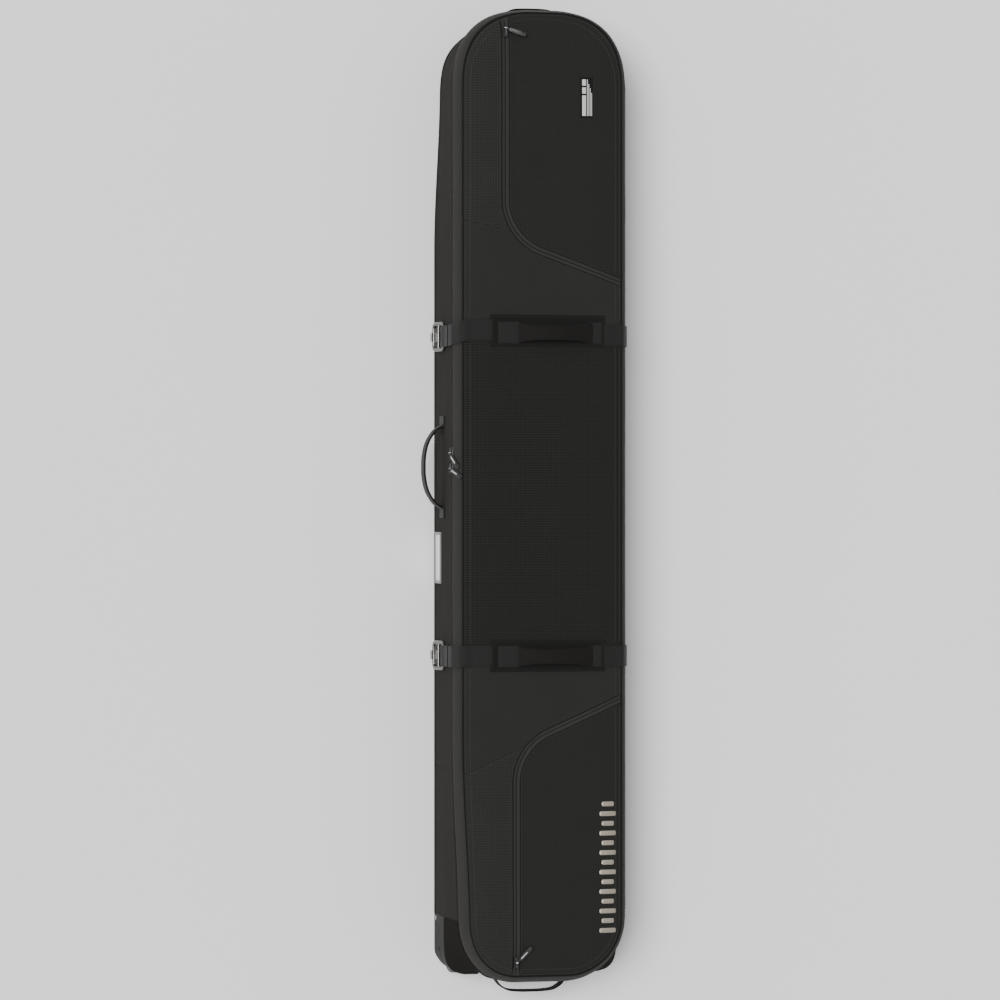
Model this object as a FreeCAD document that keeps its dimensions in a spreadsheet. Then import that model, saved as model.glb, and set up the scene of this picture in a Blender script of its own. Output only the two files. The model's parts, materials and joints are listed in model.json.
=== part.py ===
import FreeCAD, Part

import math
import os

import Sketcher
from FreeCAD import Placement, Rotation, Vector

# Wheeled snowboard bag lying on its back.  Millimetres.  +Z is up (lid side), +Y is the head end,
# -Y the wheel end, -X the side where the main zipper opens and +X the side that the lid hinges on.
# The origin is the middle of the back panel's outer face, which lies on the floor.

doc = FreeCAD.newDocument("snowboard_bag")

# ---------------------------------------------------------------- driving dimensions

SIZES = [
    ("length", 1760, "outer length of the shell"),
    ("width", 320, "outer width of the shell"),
    ("head_radius", 140, "plan radius of the head end's corners"),
    ("foot_radius", 115, "plan radius of the wheel end's corners"),
    ("wall", 4, "outer wall, fabric and backing"),
    ("back_thick", 4, "back panel thickness"),
    ("gusset_top", 160, "height of the base side wall"),
    ("zip_height", 165, "height of the main zipper"),
    ("shoulder_base", 170, "lowest edge of the lid shoulder"),
    ("seam_height", 197, "height of the seam round the lid face"),
    ("seam_inset", 14, "how far the lid seam lies inside the shell"),
    ("lid_height", 207, "height of the lid face"),
    ("face_inset", 20, "how far the flat lid face lies inside the shell"),
    ("cover", 2.5, "thickness of the lid face panels"),
    ("foam", 6, "foam pads"),
    ("foam_gap", 1.7, "room for the zipper tape between wall and pad"),
    ("tape_thick", 1.2, "zipper tape"),
    ("zip_gap", 1.2, "gap between the two halves of a zipper"),
    ("zip_band", 16, "visible width of a pocket zipper"),
    ("piping", 1.6, "how far the piping stands out"),
    ("piping_wide", 4, "width of the piping"),
    ("strap_width", 38, "compression strap webbing"),
    ("webbing", 1.8, "webbing thickness"),
    ("strap_at", 290, "distance of each compression strap from the middle"),
    ("wheel_radius", 45, "wheel radius"),
    ("wheel_width", 24, "wheel width"),
    ("wheel_lift", 0.3, "gap between the wheel and the floor"),
    ("wheel_proud", 2, "how far the wheel stands out of its housing"),
    ("hub_radius", 29, "radius of the wheel hub"),
    ("bearing_radius", 11, "outer radius of a wheel bearing"),
    ("bearing_width", 7, "width of a wheel bearing"),
    ("axle_radius", 4, "wheel axle"),
    ("run_gap", 0.05, "running clearance of the bearing on the axle"),
    ("housing_width", 62, "wheel housing, across the bag"),
    ("housing_size", 104, "wheel housing, along and up the bag"),
    ("housing_in", 8, "how far the wheel housing stays inside the wheel end"),
    ("housing_corner", 40, "plan radius of the wheel housing's outer corner"),
    ("wheel_slot", 30, "width of the slot that the wheel turns in"),
    ("slot_radius", 49, "radius of the slot that the wheel turns in"),
    ("slot_offset", 28, "slot middle, in from the outer side of the housing"),
    ("head_pocket_x", -70, "pocket zipper at the head end"),
    ("foot_pocket_x", -50, "pocket zipper at the wheel end"),
    ("slider_long", 20, "zipper slider length"),
    ("pull_long", 40, "zipper pull length"),
]

dims = doc.addObject("Spreadsheet::Sheet", "dims")
for row, (alias, value, note) in enumerate(SIZES, start=1):
    dims.set(f"A{row}", note)
    dims.set(f"B{row}", str(value))
    dims.setAlias(f"B{row}", alias)
doc.recompute()


def size(expression):
    """The number that an expression of the sheet's names gives."""
    return float(dims.evalExpression(str(expression)))


# ---------------------------------------------------------------- building blocks

nodes = []


def node(feature, label):
    """Marks a feature as a sub-part; its label names the file."""
    feature.Label = label
    nodes.append(feature)
    return feature


def bind(feature, **expressions):
    """Binds properties to the sheet.  A double underscore stands for a dot."""
    for name, expression in expressions.items():
        feature.setExpression(name.replace("__", "."), str(expression))
    return feature


def box(name, x, y, z):
    """A box from (low, high) expressions along each axis."""
    made = doc.addObject("Part::Box", name)
    for prop, axis, (low, high) in zip(("Length", "Width", "Height"), "xyz", (x, y, z)):
        made.setExpression(prop, f"({high}) - ({low})")
        made.setExpression(f"Placement.Base.{axis}", str(low))
    return made


AXIS_TURN = {
    "x": Rotation(Vector(0, 1, 0), 90),
    "y": Rotation(Vector(1, 0, 0), -90),
    "z": Rotation(),
}


def rod(name, radius, length, start, along):
    """A cylinder along an axis from its start point; every size is an expression."""
    made = doc.addObject("Part::Cylinder", name)
    made.Placement = Placement(Vector(), AXIS_TURN[along])
    bind(made, Radius=radius, Height=length)
    for axis, value in zip("xyz", start):
        made.setExpression(f"Placement.Base.{axis}", str(value))
    return made


def cut(name, base, *tools):
    for n, tool in enumerate(tools):
        made = doc.addObject("Part::Cut", name if n == len(tools) - 1 else f"{name}_step")
        made.Base, made.Tool = base, tool
        base = made
    return base


def common(name, base, tool):
    made = doc.addObject("Part::Common", name)
    made.Base, made.Tool = base, tool
    return made


def fuse(name, *parts):
    made = doc.addObject("Part::MultiFuse", name)
    made.Shapes = list(parts)
    return made


def group(name, *parts):
    """Separate solids that share one node."""
    made = doc.addObject("Part::Compound", name)
    made.Links = list(parts)
    return made


def mirrored(name, source, normal):
    made = doc.addObject("Part::Mirroring", name)
    made.Source, made.Normal = source, normal
    return made


def rounded(name, base, radius, chosen):
    """Fillets the edges of base that chosen(edge) picks."""
    doc.recompute()
    made = doc.addObject("Part::Fillet", name)
    made.Base = base
    r = size(radius)
    made.Edges = [(n, r, r) for n, e in enumerate(base.Shape.Edges, start=1) if chosen(e)]
    return made


def body(name):
    return doc.addObject("PartDesign::Body", name)


def sketch(owner, name, plane="XY_Plane", offset=None):
    """A sketch on one of the body's own origin planes, lifted by an expression."""
    made = owner.newObject("Sketcher::SketchObject", name)
    origin_plane = [f for f in owner.Origin.OriginFeatures if f.Role == plane][0]
    made.AttachmentSupport = [(origin_plane, "")]
    made.MapMode = "FlatFace"
    if offset is not None:
        made.setExpression("AttachmentOffset.Base.z", str(offset))
    return made


def outline(drawing, inset, tag=""):
    """A rounded rectangle, the shell's plan outline drawn inset by an expression, fully constrained."""
    half_across = f"dims.width / 2 - ({inset})"
    half_along = f"dims.length / 2 - ({inset})"
    head, foot = f"dims.head_radius - ({inset})", f"dims.foot_radius - ({inset})"
    w, l, head_r, foot_r = size(half_across), size(half_along), size(head), size(foot)
    quarter = math.pi / 2
    first = drawing.GeometryCount
    lines = (((head_r - w, l), (w - head_r, l)), ((w, l - head_r), (w, foot_r - l)),
             ((w - foot_r, -l), (foot_r - w, -l)), ((-w, foot_r - l), (-w, l - head_r)))
    for (x1, y1), (x2, y2) in lines:
        drawing.addGeometry(Part.LineSegment(Vector(x1, y1, 0), Vector(x2, y2, 0)), False)
    for side, end, r, turn in ((1, 1, head_r, 0), (1, -1, foot_r, 3), (-1, -1, foot_r, 2),
                               (-1, 1, head_r, 1)):
        circle = Part.Circle(Vector(side * (w - r), end * (l - r), 0), Vector(0, 0, 1), r)
        drawing.addGeometry(Part.ArcOfCircle(circle, turn * quarter, (turn + 1) * quarter), False)
    top, right, bottom, left, arc_tr, arc_br, arc_bl, arc_tl = range(first, first + 8)
    joins = [
        (top, 2, arc_tr, 2), (arc_tr, 1, right, 1), (right, 2, arc_br, 2), (arc_br, 1, bottom, 1),
        (bottom, 2, arc_bl, 2), (arc_bl, 1, left, 1), (left, 2, arc_tl, 2), (arc_tl, 1, top, 1),
    ]
    rules = [("Tangent", *join) for join in joins]
    rules += [("Horizontal", top), ("Horizontal", bottom), ("Vertical", left), ("Vertical", right)]
    rules += [("Equal", arc_tr, arc_tl), ("Equal", arc_br, arc_bl)]
    for rule in rules:
        drawing.addConstraint(Sketcher.Constraint(*rule))
    for kind, ends, expression, what in (
        ("DistanceX", (left, 1, -1, 1), half_across, "zip_side"),
        ("DistanceX", (-1, 1, right, 1), half_across, "hinge_side"),
        ("DistanceY", (-1, 1, top, 1), half_along, "head_end"),
        ("DistanceY", (bottom, 1, -1, 1), half_along, "foot_end"),
        ("Radius", (arc_tr,), head, "head_corner"),
        ("Radius", (arc_br,), foot, "foot_corner"),
    ):
        index = drawing.addConstraint(Sketcher.Constraint(kind, *ends, size(expression)))
        drawing.renameConstraint(index, what + tag)
        drawing.setExpression(f"Constraints.{what}{tag}", expression)


def plate(name, inset, low, high):
    """A flat plate with the shell's rounded outline, inset."""
    owner = body(name)
    drawing = sketch(owner, f"{name}_outline", offset=low)
    outline(drawing, inset)
    pad = owner.newObject("PartDesign::Pad", f"{name}_pad")
    pad.Profile = drawing
    bind(pad, Length=f"({high}) - ({low})")
    return owner


def ring(name, inset, thick, low, high):
    """A wall of the shell's rounded outline, from inset inwards by thick."""
    owner = body(name)
    drawing = sketch(owner, f"{name}_outline", offset=low)
    outline(drawing, inset, "_out")
    outline(drawing, f"({inset}) + ({thick})", "_in")
    pad = owner.newObject("PartDesign::Pad", f"{name}_pad")
    pad.Profile = drawing
    bind(pad, Length=f"({high}) - ({low})")
    return owner


def taper(name, inset_low, low, inset_high, high):
    """A loft between two insets of the shell's outline at two heights."""
    owner = body(name)
    drawings = []
    for level, inset, tag in ((low, inset_low, "low"), (high, inset_high, "high")):
        drawing = sketch(owner, f"{name}_{tag}", offset=level)
        outline(drawing, inset)
        drawings.append(drawing)
    loft = owner.newObject("PartDesign::AdditiveLoft", f"{name}_loft")
    loft.Profile = drawings[0]
    loft.Sections = [drawings[1]]
    loft.Ruled = True
    return owner


def polygon(name, points, plane, depth, offset=0):
    """A prism from straight-sided points in an origin plane, padded both ways from the offset."""
    owner = body(name)
    drawing = sketch(owner, f"{name}_outline", plane, offset)
    for (x1, y1), (x2, y2) in zip(points, points[1:] + points[:1]):
        drawing.addGeometry(Part.LineSegment(Vector(x1, y1, 0), Vector(x2, y2, 0)), False)
    pad = owner.newObject("PartDesign::Pad", f"{name}_pad")
    pad.Profile = drawing
    pad.Midplane = True
    bind(pad, Length=depth)
    return owner


def band_points(line, near, far):
    """The closed outline between two offsets of a polyline, to the left of its direction."""

    def offset(distance):
        moved = []
        for n, (x, y) in enumerate(line):
            normals = []
            for a, b in ((n - 1, n), (n, n + 1)):
                if a >= 0 and b < len(line):
                    dx, dy = line[b][0] - line[a][0], line[b][1] - line[a][1]
                    span = math.hypot(dx, dy)
                    normals.append((-dy / span, dx / span))
            nx, ny = sum(v[0] for v in normals), sum(v[1] for v in normals)
            scale = distance * len(normals) / (nx * nx + ny * ny)
            moved.append((x + nx * scale, y + ny * scale))
        return moved

    return offset(near) + offset(far)[::-1]


# ---------------------------------------------------------------- base shell

STRAIGHT_HEAD = "(dims.length / 2 - dims.head_radius)"
STRAIGHT_FOOT = "(dims.foot_radius - dims.length / 2)"
FAR = "dims.length"
HALF_WIDTH = "(dims.width / 2)"
FOOT = "(-dims.length / 2)"
HEAD = "(dims.length / 2)"
HOUSING_INNER = f"({HALF_WIDTH} - dims.housing_width)"
HOUSING_END = f"({FOOT} + dims.housing_in)"
ALL_HEIGHTS = ("-5", "2 * dims.lid_height")
PAD_GAP = 0.3

ZONES = {
    "zip_side": ((f"-{FAR}", "0"), (STRAIGHT_FOOT, STRAIGHT_HEAD)),
    "hinge_side": (("0", FAR), (STRAIGHT_FOOT, STRAIGHT_HEAD)),
    "head_end": ((f"-{FAR}", FAR), (STRAIGHT_HEAD, FAR)),
    "foot_end": ((f"-{FAR}", FAR), (f"-{FAR}", STRAIGHT_FOOT)),
}


def in_zone(name, part, zone):
    """The part of a ring that runs along one side or round one end."""
    return common(name, part, box(f"{name}_zone", *ZONES[zone], ALL_HEIGHTS))


def without_housings(name, part):
    """Takes out the two corners that the wheel housings fill."""
    rooms = []
    for tag, x in (("zip_side", (f"-{HALF_WIDTH} - 5", f"-{HOUSING_INNER}")),
                   ("hinge_side", (HOUSING_INNER, f"{HALF_WIDTH} + 5"))):
        rooms.append(box(f"{name}_room_{tag}", x, (f"{FOOT} - 20", f"{HOUSING_END} + dims.housing_size"),
                         ("-5", "dims.housing_size")))
    return cut(name, part, *rooms)


def base_shell():
    node(without_housings("back_cut", plate("back_outline", "0", "0", "dims.back_thick")), "back_panel")
    wall = ring("gusset", "0", "dims.wall", "dims.back_thick", "dims.gusset_top")
    for zone in ("zip_side", "hinge_side", "head_end"):
        node(in_zone(f"wall_{zone}", wall, zone), f"gusset_{zone}")
    node(without_housings("wall_foot_cut", in_zone("wall_foot_end", wall, "foot_end")), "gusset_foot_end")
    band = ring("hinge_ring", "0.5", "dims.wall - 1", "dims.gusset_top", "dims.zip_height")
    node(in_zone("hinge_band_piece", band, "hinge_side"), "hinge_band")
    bead = ring("back_bead", "-dims.piping", "dims.piping", "dims.back_thick",
                "dims.back_thick + dims.piping_wide")
    node(without_housings("back_bead_cut", bead), "back_piping")


COIL_DEEP = 2.8
COIL_HIGH = 2.0
LAP_HIGH = 8


def zipper_half(name, tape_z, coil_z, *more):
    """One side of the main zipper: tape and coil round every side but the hinge side."""
    tape = ring(f"{name}_tape", "dims.wall + 0.2", "dims.tape_thick", *tape_z)
    coil = ring(f"{name}_coil", "dims.wall - 1.4", COIL_DEEP, *coil_z)
    both = fuse(f"{name}_both", tape, coil, *more)
    return cut(name, both, box(f"{name}_gap", *ZONES["hinge_side"], ALL_HEIGHTS))


def tape_lap():
    """The part of the lid's zipper tape that leans inwards behind the sloping shoulder."""
    lean = f"{LAP_HIGH} * dims.seam_inset / (dims.seam_height - dims.shoulder_base)"
    low, high = "dims.shoulder_base", f"dims.shoulder_base + {LAP_HIGH}"
    near, far = "dims.wall + 0.2", "dims.wall + 0.2 + dims.tape_thick"
    outer = taper("lap_outer", near, low, f"{near} + {lean}", high)
    inner = taper("lap_inner", far, low, f"{far} + {lean}", high)
    return cut("tape_lap", outer, inner)


def main_zipper():
    below, above = "dims.zip_height - dims.zip_gap / 2", "dims.zip_height + dims.zip_gap / 2"
    node(zipper_half("base_zipper", ("dims.gusset_top - 10", below), (f"{below} - {COIL_HIGH}", below)),
         "base_zip_tape")
    node(zipper_half("lid_zipper", (above, "dims.shoulder_base"), (above, f"{above} + {COIL_HIGH}"),
                     tape_lap()),
         "lid_zip_tape")


def padding():
    inset = "dims.wall + dims.foam_gap"
    floor = (f"dims.back_thick + {PAD_GAP}", f"dims.back_thick + {PAD_GAP} + dims.foam")
    node(without_housings("back_pad_cut", plate("back_pad_plate", inset, *floor)), "back_pad")
    wall = without_housings("wall_pad_cut", ring("wall_pad_ring", inset, "dims.foam",
                                                 f"{floor[1]} + {PAD_GAP}",
                                                 "dims.gusset_top - 12"))
    node(group("wall_pads_group", *[in_zone(f"pad_{zone}", wall, zone) for zone in ZONES]), "wall_pads")


TIE_DOWN_AT = 350
TIE_DOWN_WIDE = 25
TIE_DOWN_THICK = 1.5


def tie_downs():
    """Two straps across the inside of the back with a buckle on each, that hold the board down."""
    low = f"dims.back_thick + {PAD_GAP} + dims.foam + 0.1"
    pieces = []
    reach = f"({HALF_WIDTH} - dims.wall - dims.foam_gap - dims.foam - 0.5)"
    for tag, y in (("head", TIE_DOWN_AT), ("foot", -TIE_DOWN_AT)):
        pieces.append(box(f"tie_strap_{tag}", (f"-{reach}", reach),
                          (y - TIE_DOWN_WIDE / 2, y + TIE_DOWN_WIDE / 2),
                          (low, f"{low} + {TIE_DOWN_THICK}")))
        top = f"{low} + {TIE_DOWN_THICK} + 0.1"
        for part, x, half in (("socket", (-30, 3), 17), ("plug", (3.3, 30), 15)):
            pieces.append(box(f"buckle_{part}_{tag}", x, (y - half, y + half), (top, f"{top} + 8")))
    node(group("tie_down_group", *pieces), "tie_downs")


# ---------------------------------------------------------------- wheels

WHEEL_X = f"({HALF_WIDTH} - dims.slot_offset)"
WHEEL_Y = f"({HOUSING_END} - dims.wheel_proud + dims.wheel_radius)"
WHEEL_Z = "(dims.wheel_radius + dims.wheel_lift)"
RAMP = 31
TREAD_ROUND = 8
TOP_ROUND = 7
SCREW_HEAD, SCREW_SHANK = 5, 2.2
SCREW_PLACES = [(50, 97), (96, 97), (96, 12)]


def at_corner(edge, x, y):
    """Whether an edge is the upright one at the given corner."""
    return abs(edge.tangentAt(edge.FirstParameter).z) > 0.9 and math.hypot(
        edge.CenterOfMass.x - x, edge.CenterOfMass.y - y) < 1


def housing_screws(radius, low, high, name):
    """The screws' solids along X, at every screw place, as one list."""
    return [rod(f"{name}_{n}", radius, f"({high}) - ({low})", (low, f"{HOUSING_END} + {y}", z), "x")
            for n, (y, z) in enumerate(SCREW_PLACES)]


def wheel_housing():
    """The hinge-side housing: a moulded cup with a slot that opens down and to the wheel end."""
    block = box("housing_block", (HOUSING_INNER, HALF_WIDTH),
                (HOUSING_END, f"{HOUSING_END} + dims.housing_size"),
                ("0", "dims.housing_size"))
    corner = (size(HALF_WIDTH), size(HOUSING_END))
    block = rounded("housing_corner", block, "dims.housing_corner", lambda e: at_corner(e, *corner))
    top = size("dims.housing_size")
    middle = size(f"{HALF_WIDTH} - dims.housing_width / 2")
    block = rounded("housing_top", block, TOP_ROUND, lambda e: abs(e.CenterOfMass.z - top) < 0.01 and (
        e.CenterOfMass.x > middle + 5 or e.CenterOfMass.y < corner[1] + 5))
    slot_x = (f"{WHEEL_X} - dims.wheel_slot / 2", f"{WHEEL_X} + dims.wheel_slot / 2")
    slot = rod("housing_slot", "dims.slot_radius", "dims.wheel_slot", (slot_x[0], WHEEL_Y, WHEEL_Z), "x")
    down = box("slot_down", slot_x, (f"{FOOT} - 20", f"{WHEEL_Y} + dims.slot_radius"), ("-1", WHEEL_Z))
    out = box("slot_out", slot_x, (f"{FOOT} - 20", WHEEL_Y), ("-1", f"{WHEEL_Z} + dims.slot_radius"))
    end = size(HOUSING_END)
    ramp = polygon("housing_ramp", [(end - 1, -1), (end + RAMP, -1), (end + RAMP, 0), (end, RAMP),
                                    (end - 1, RAMP)],
                   "YZ_Plane", "dims.housing_width * 2", WHEEL_X)
    bore = rod("housing_bore", "dims.axle_radius", "dims.housing_width + 2",
               (f"{HOUSING_INNER} - 1", WHEEL_Y, WHEEL_Z), "x")
    recesses = housing_screws(SCREW_HEAD + 0.3, f"{HALF_WIDTH} - 3", f"{HALF_WIDTH} + 1", "screw_recess")
    holes = housing_screws(SCREW_SHANK, f"{HALF_WIDTH} - 12", f"{HALF_WIDTH} - 2", "screw_hole")
    return cut("housing_hinge_side", block, slot, down, out, ramp, bore, *recesses, *holes)


def both_sides(name, *parts):
    """The parts and their mirror images across the bag."""
    return group(name, *parts, *[mirrored(f"{part.Name}_zip_side", part, Vector(1, 0, 0)) for part in parts])


def wheel(side, name):
    """Tyre, hub and two bearings of one wheel."""
    x = f"{side} * {WHEEL_X}"
    half = "dims.wheel_width / 2"

    def turned(label, radius, low, high):
        """A round piece on the axle, between two places along X from the wheel's middle."""
        return rod(f"{label}_{name}", radius, f"({high}) - ({low})", (f"{x} + ({low})", WHEEL_Y, WHEEL_Z),
                   "x")

    outer = size("dims.wheel_radius")
    tyre = rounded(f"tyre_round_{name}", turned("tyre_solid", "dims.wheel_radius", f"-{half}", half),
                   TREAD_ROUND,
                   lambda e: isinstance(e.Curve, Part.Circle) and abs(e.Curve.Radius - outer) < 0.1)
    tyre_hole = turned("tyre_hole", "dims.hub_radius", f"-{half} - 1", f"{half} + 1")
    node(cut(f"tyre_cut_{name}", tyre, tyre_hole), f"tyre_{name}")

    inner_rim, boss = "(dims.hub_radius - 3.5)", "(dims.bearing_radius + 3)"
    rim = turned("hub_rim", "dims.hub_radius - 0.02", f"1 - {half}", f"{half} - 1")
    cuts = []
    for face, low, high in (("in", f"-{half}", f"6 - {half}"), ("out", f"{half} - 6", half)):
        cuts.append(cut(f"hub_groove_{face}_{name}", turned(f"recess_{face}", inner_rim, low, high),
                        turned(f"boss_{face}", boss, low, high)))
    cuts.append(turned("seat_in", "dims.bearing_radius + 0.02", f"-{half}", "-3"))
    cuts.append(turned("seat_out", "dims.bearing_radius + 0.02", "3", half))
    cuts.append(turned("hub_bore", "dims.axle_radius + 2", f"-{half}", half))
    for n in range(5):
        hole = turned(f"hub_hole_{n}", "4", f"-{half}", half)
        for axis, way in (("y", "cos"), ("z", "sin")):
            centre = WHEEL_Y if axis == "y" else WHEEL_Z
            reach = f"({inner_rim} + {boss}) / 2 * {way}({n * 72})"
            hole.setExpression(f"Placement.Base.{axis}", f"{centre} + {reach}")
        cuts.append(hole)
    node(cut(f"hub_{name}", rim, *cuts), f"wheel_hub_{name}")

    races = []
    for face, low, high in (("in", "-3 - dims.bearing_width", "-3"), ("out", "3", "3 + dims.bearing_width")):
        races.append(cut(f"bearing_{face}_{name}", turned(f"race_{face}", "dims.bearing_radius", low, high),
                         turned(f"race_bore_{face}", "dims.axle_radius + dims.run_gap", f"{low} - 1",
                                f"{high} + 1")))
    node(group(f"bearings_group_{name}", *races), f"bearings_{name}")


def wheels():
    node(both_sides("housings_group", wheel_housing()), "wheel_housings")
    pin = rod("axle_pin", "dims.axle_radius", "dims.housing_width - 6",
              (f"{HOUSING_INNER} + 3", WHEEL_Y, WHEEL_Z), "x")
    spacers = []
    for face, low, high in (("in", "-dims.wheel_slot / 2 + 0.1", "-3.2 - dims.bearing_width"),
                            ("out", "3.2 + dims.bearing_width", "dims.wheel_slot / 2 - 0.1")):
        start, long = f"{WHEEL_X} + {low}", f"({high}) - ({low})"
        sleeve = rod(f"spacer_solid_{face}", "dims.axle_radius + 3", long, (start, WHEEL_Y, WHEEL_Z), "x")
        bore = rod(f"spacer_bore_{face}", "dims.axle_radius", long, (start, WHEEL_Y, WHEEL_Z), "x")
        spacers.append(cut(f"spacer_{face}", sleeve, bore))
    node(both_sides("axles_group", pin, *spacers), "wheel_axles")
    heads = housing_screws(SCREW_HEAD, f"{HALF_WIDTH} - 3", f"{HALF_WIDTH} - 0.4", "screw_head")
    shanks = housing_screws(SCREW_SHANK, f"{HALF_WIDTH} - 12", f"{HALF_WIDTH} - 3", "screw_shank")
    screws = [fuse(f"screw_{n}", head, shank) for n, (head, shank) in enumerate(zip(heads, shanks))]
    node(both_sides("screws_group", *screws), "housing_screws")
    wheel(-1, "zip_side")
    wheel(1, "hinge_side")
    bumper = ring("kick_ring", "-2.2", "2", "dims.back_thick + dims.piping_wide + 1", "62")
    span = box("kick_span", (-92, 92), (f"{FOOT} - 5", f"{FOOT} + 40"), ALL_HEIGHTS)
    node(common("kick_piece", bumper, span), "kick_plate")


# ---------------------------------------------------------------- lid

POCKET_START = 846
POCKET_END_X = 128
POCKET_RADIUS = 100
POCKETS = {
    "head": {"x": "dims.head_pocket_x", "start": POCKET_START, "corner": 465, "end": 393},
    "foot": {"x": "dims.foot_pocket_x", "start": -POCKET_START, "corner": -453, "end": -374},
}
FLAP_START_Y = 795
FLAP_END_X = 112
PAST_EDGE = 70
TAPE_END = 4
FOLD_GAP = 0.3
TAPE_FOLD_GAP = 1.8


def pocket_curve(pocket, offset=0.0, reach=0.0):
    """A pocket zipper's line on the lid: straight along the bag, round a corner and out to the hinge
    side.  offset moves it sideways, into the pocket; reach lengthens both ends."""
    line = POCKETS[pocket]
    x, start_y, corner_y, end_y = size(line["x"]), line["start"], line["corner"], line["end"]
    way = 1 if start_y > corner_y else -1
    slope = math.atan2(end_y - corner_y, POCKET_END_X - x)
    turn = math.pi / 2 + way * slope
    tangent = POCKET_RADIUS * math.tan(turn / 2)
    along = Vector(math.cos(slope), math.sin(slope), 0)
    side = Vector(-math.sin(slope), math.cos(slope), 0) * way
    bend_y = corner_y + way * tangent
    centre = Vector(x + POCKET_RADIUS, bend_y, 0)
    half_way = math.pi + way * turn / 2
    middle = centre + Vector(math.cos(half_way), math.sin(half_way), 0) * (POCKET_RADIUS - offset)
    start = Vector(x + offset, start_y + way * reach, 0)
    bend = Vector(x + offset, bend_y, 0)
    out = Vector(x, corner_y, 0) + along * tangent + side * offset
    finish = Vector(POCKET_END_X, end_y, 0) + side * offset + along * reach
    return [Part.LineSegment(start, bend), Part.Arc(bend, middle, out), Part.LineSegment(out, finish)]


def flat_solid(name, edges, bottom, top):
    """A prism over a closed outline of edges, between two heights."""
    face = Part.Face(Part.Wire(Part.__sortEdges__([edge.toShape() for edge in edges])))
    face.translate(Vector(0, 0, size(bottom)))
    solid = face.extrude(Vector(0, 0, size(top) - size(bottom)))
    made = doc.addObject("Part::Feature", name)
    made.Shape = solid
    return made


def zipper_strip(name, pocket, offsets, heights, reach):
    """A flat strip along a pocket zipper between two sideways offsets and two heights."""
    near, far = (pocket_curve(pocket, size(offset), reach) for offset in offsets)
    caps = [Part.LineSegment(near[0].StartPoint, far[0].StartPoint),
            Part.LineSegment(near[-1].EndPoint, far[-1].EndPoint)]
    return flat_solid(name, near + far + caps, *heights)


def pocket_zone(name, pocket, heights):
    """Everything between a pocket zipper's middle line and the corner of the lid."""
    edge = pocket_curve(pocket, 0.0, PAST_EDGE)
    start, finish = edge[0].StartPoint, edge[-1].EndPoint
    corner = Vector(finish.x + 1, start.y, 0)
    return flat_solid(name, edge + [Part.LineSegment(start, corner), Part.LineSegment(corner, finish)],
                      *heights)


def fold_line(pocket):
    """The two ends of the line along which the pocket's corner folds back when it is unzipped."""
    line = POCKETS[pocket]
    x, way = size(line["x"]), math.copysign(1, line["start"])
    share = (FLAP_END_X - x) / (POCKET_END_X - x)
    end_y = line["corner"] + share * (line["end"] - line["corner"])
    return Vector(x - 1, way * FLAP_START_Y, 0), Vector(FLAP_END_X, end_y, 0)


def fold_zone(name, pocket, heights, shift):
    """Everything on the zipper corner's side of the fold line, moved away from it by shift."""
    first, last = fold_line(pocket)
    along = (last - first).normalize()
    way = -math.copysign(1, POCKETS[pocket]["start"])
    away = Vector(-along.y, along.x, 0) * way
    first, last = first + away * shift - along * 30, last + away * shift + along * 30
    points = [first, last, last + away * 300, first + away * 300, first]
    return flat_solid(name, [Part.LineSegment(a, b) for a, b in zip(points, points[1:])], *heights)


def lid_shell():
    outer = taper("shoulder_outer", "0", "dims.shoulder_base", "dims.seam_inset", "dims.seam_height")
    inner = taper("shoulder_inner", "dims.wall", "dims.shoulder_base", "dims.seam_inset + dims.wall",
                  "dims.seam_height")
    node(cut("shoulder_shell", outer, inner), "lid_shoulder")

    face_outer = taper("face_outer", "dims.seam_inset", "dims.seam_height", "dims.face_inset",
                       "dims.lid_height")
    face_inner = taper("face_inner", "dims.seam_inset + dims.cover + 1", "dims.seam_height",
                       "dims.face_inset + dims.cover", "dims.lid_height - dims.cover")
    face = cut("face_shell", face_outer, face_inner)
    heights = ("dims.seam_height - 1", "dims.lid_height + 1")
    band = ("-dims.zip_band / 2", "dims.zip_band / 2")
    kept = face
    for pocket in POCKETS:
        groove = zipper_strip(f"{pocket}_groove", pocket, band, heights, TAPE_END)
        zone = pocket_zone(f"{pocket}_zone", pocket, heights)
        kept = cut(f"lid_less_{pocket}", kept, groove, zone)
        panel = common(f"{pocket}_panel", cut(f"{pocket}_face", face, groove), zone)
        folding = common(f"{pocket}_folding", panel, fold_zone(f"{pocket}_fold", pocket, heights,
                                                               FOLD_GAP / 2))
        staying = cut(f"{pocket}_staying", panel, fold_zone(f"{pocket}_stay", pocket, heights, -FOLD_GAP / 2))
        node(staying, f"pocket_panel_{pocket}")
        node(folding, f"pocket_flap_{pocket}")
    node(kept, "lid_panel")

    bead = ring("lid_bead", "dims.seam_inset - dims.piping", "4", "dims.seam_height - 2",
                "dims.seam_height - 2 + dims.piping_wide")
    node(cut("lid_bead_cut", bead, outer, face_outer), "lid_piping")
    node(plate("lid_pad_plate", "dims.seam_inset + 8", "dims.seam_height - 11", "dims.seam_height - 5"),
         "lid_pad")


TAPE_MIDDLE = "(dims.lid_height - 1.5)"
POCKET_COIL = 2.6


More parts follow.
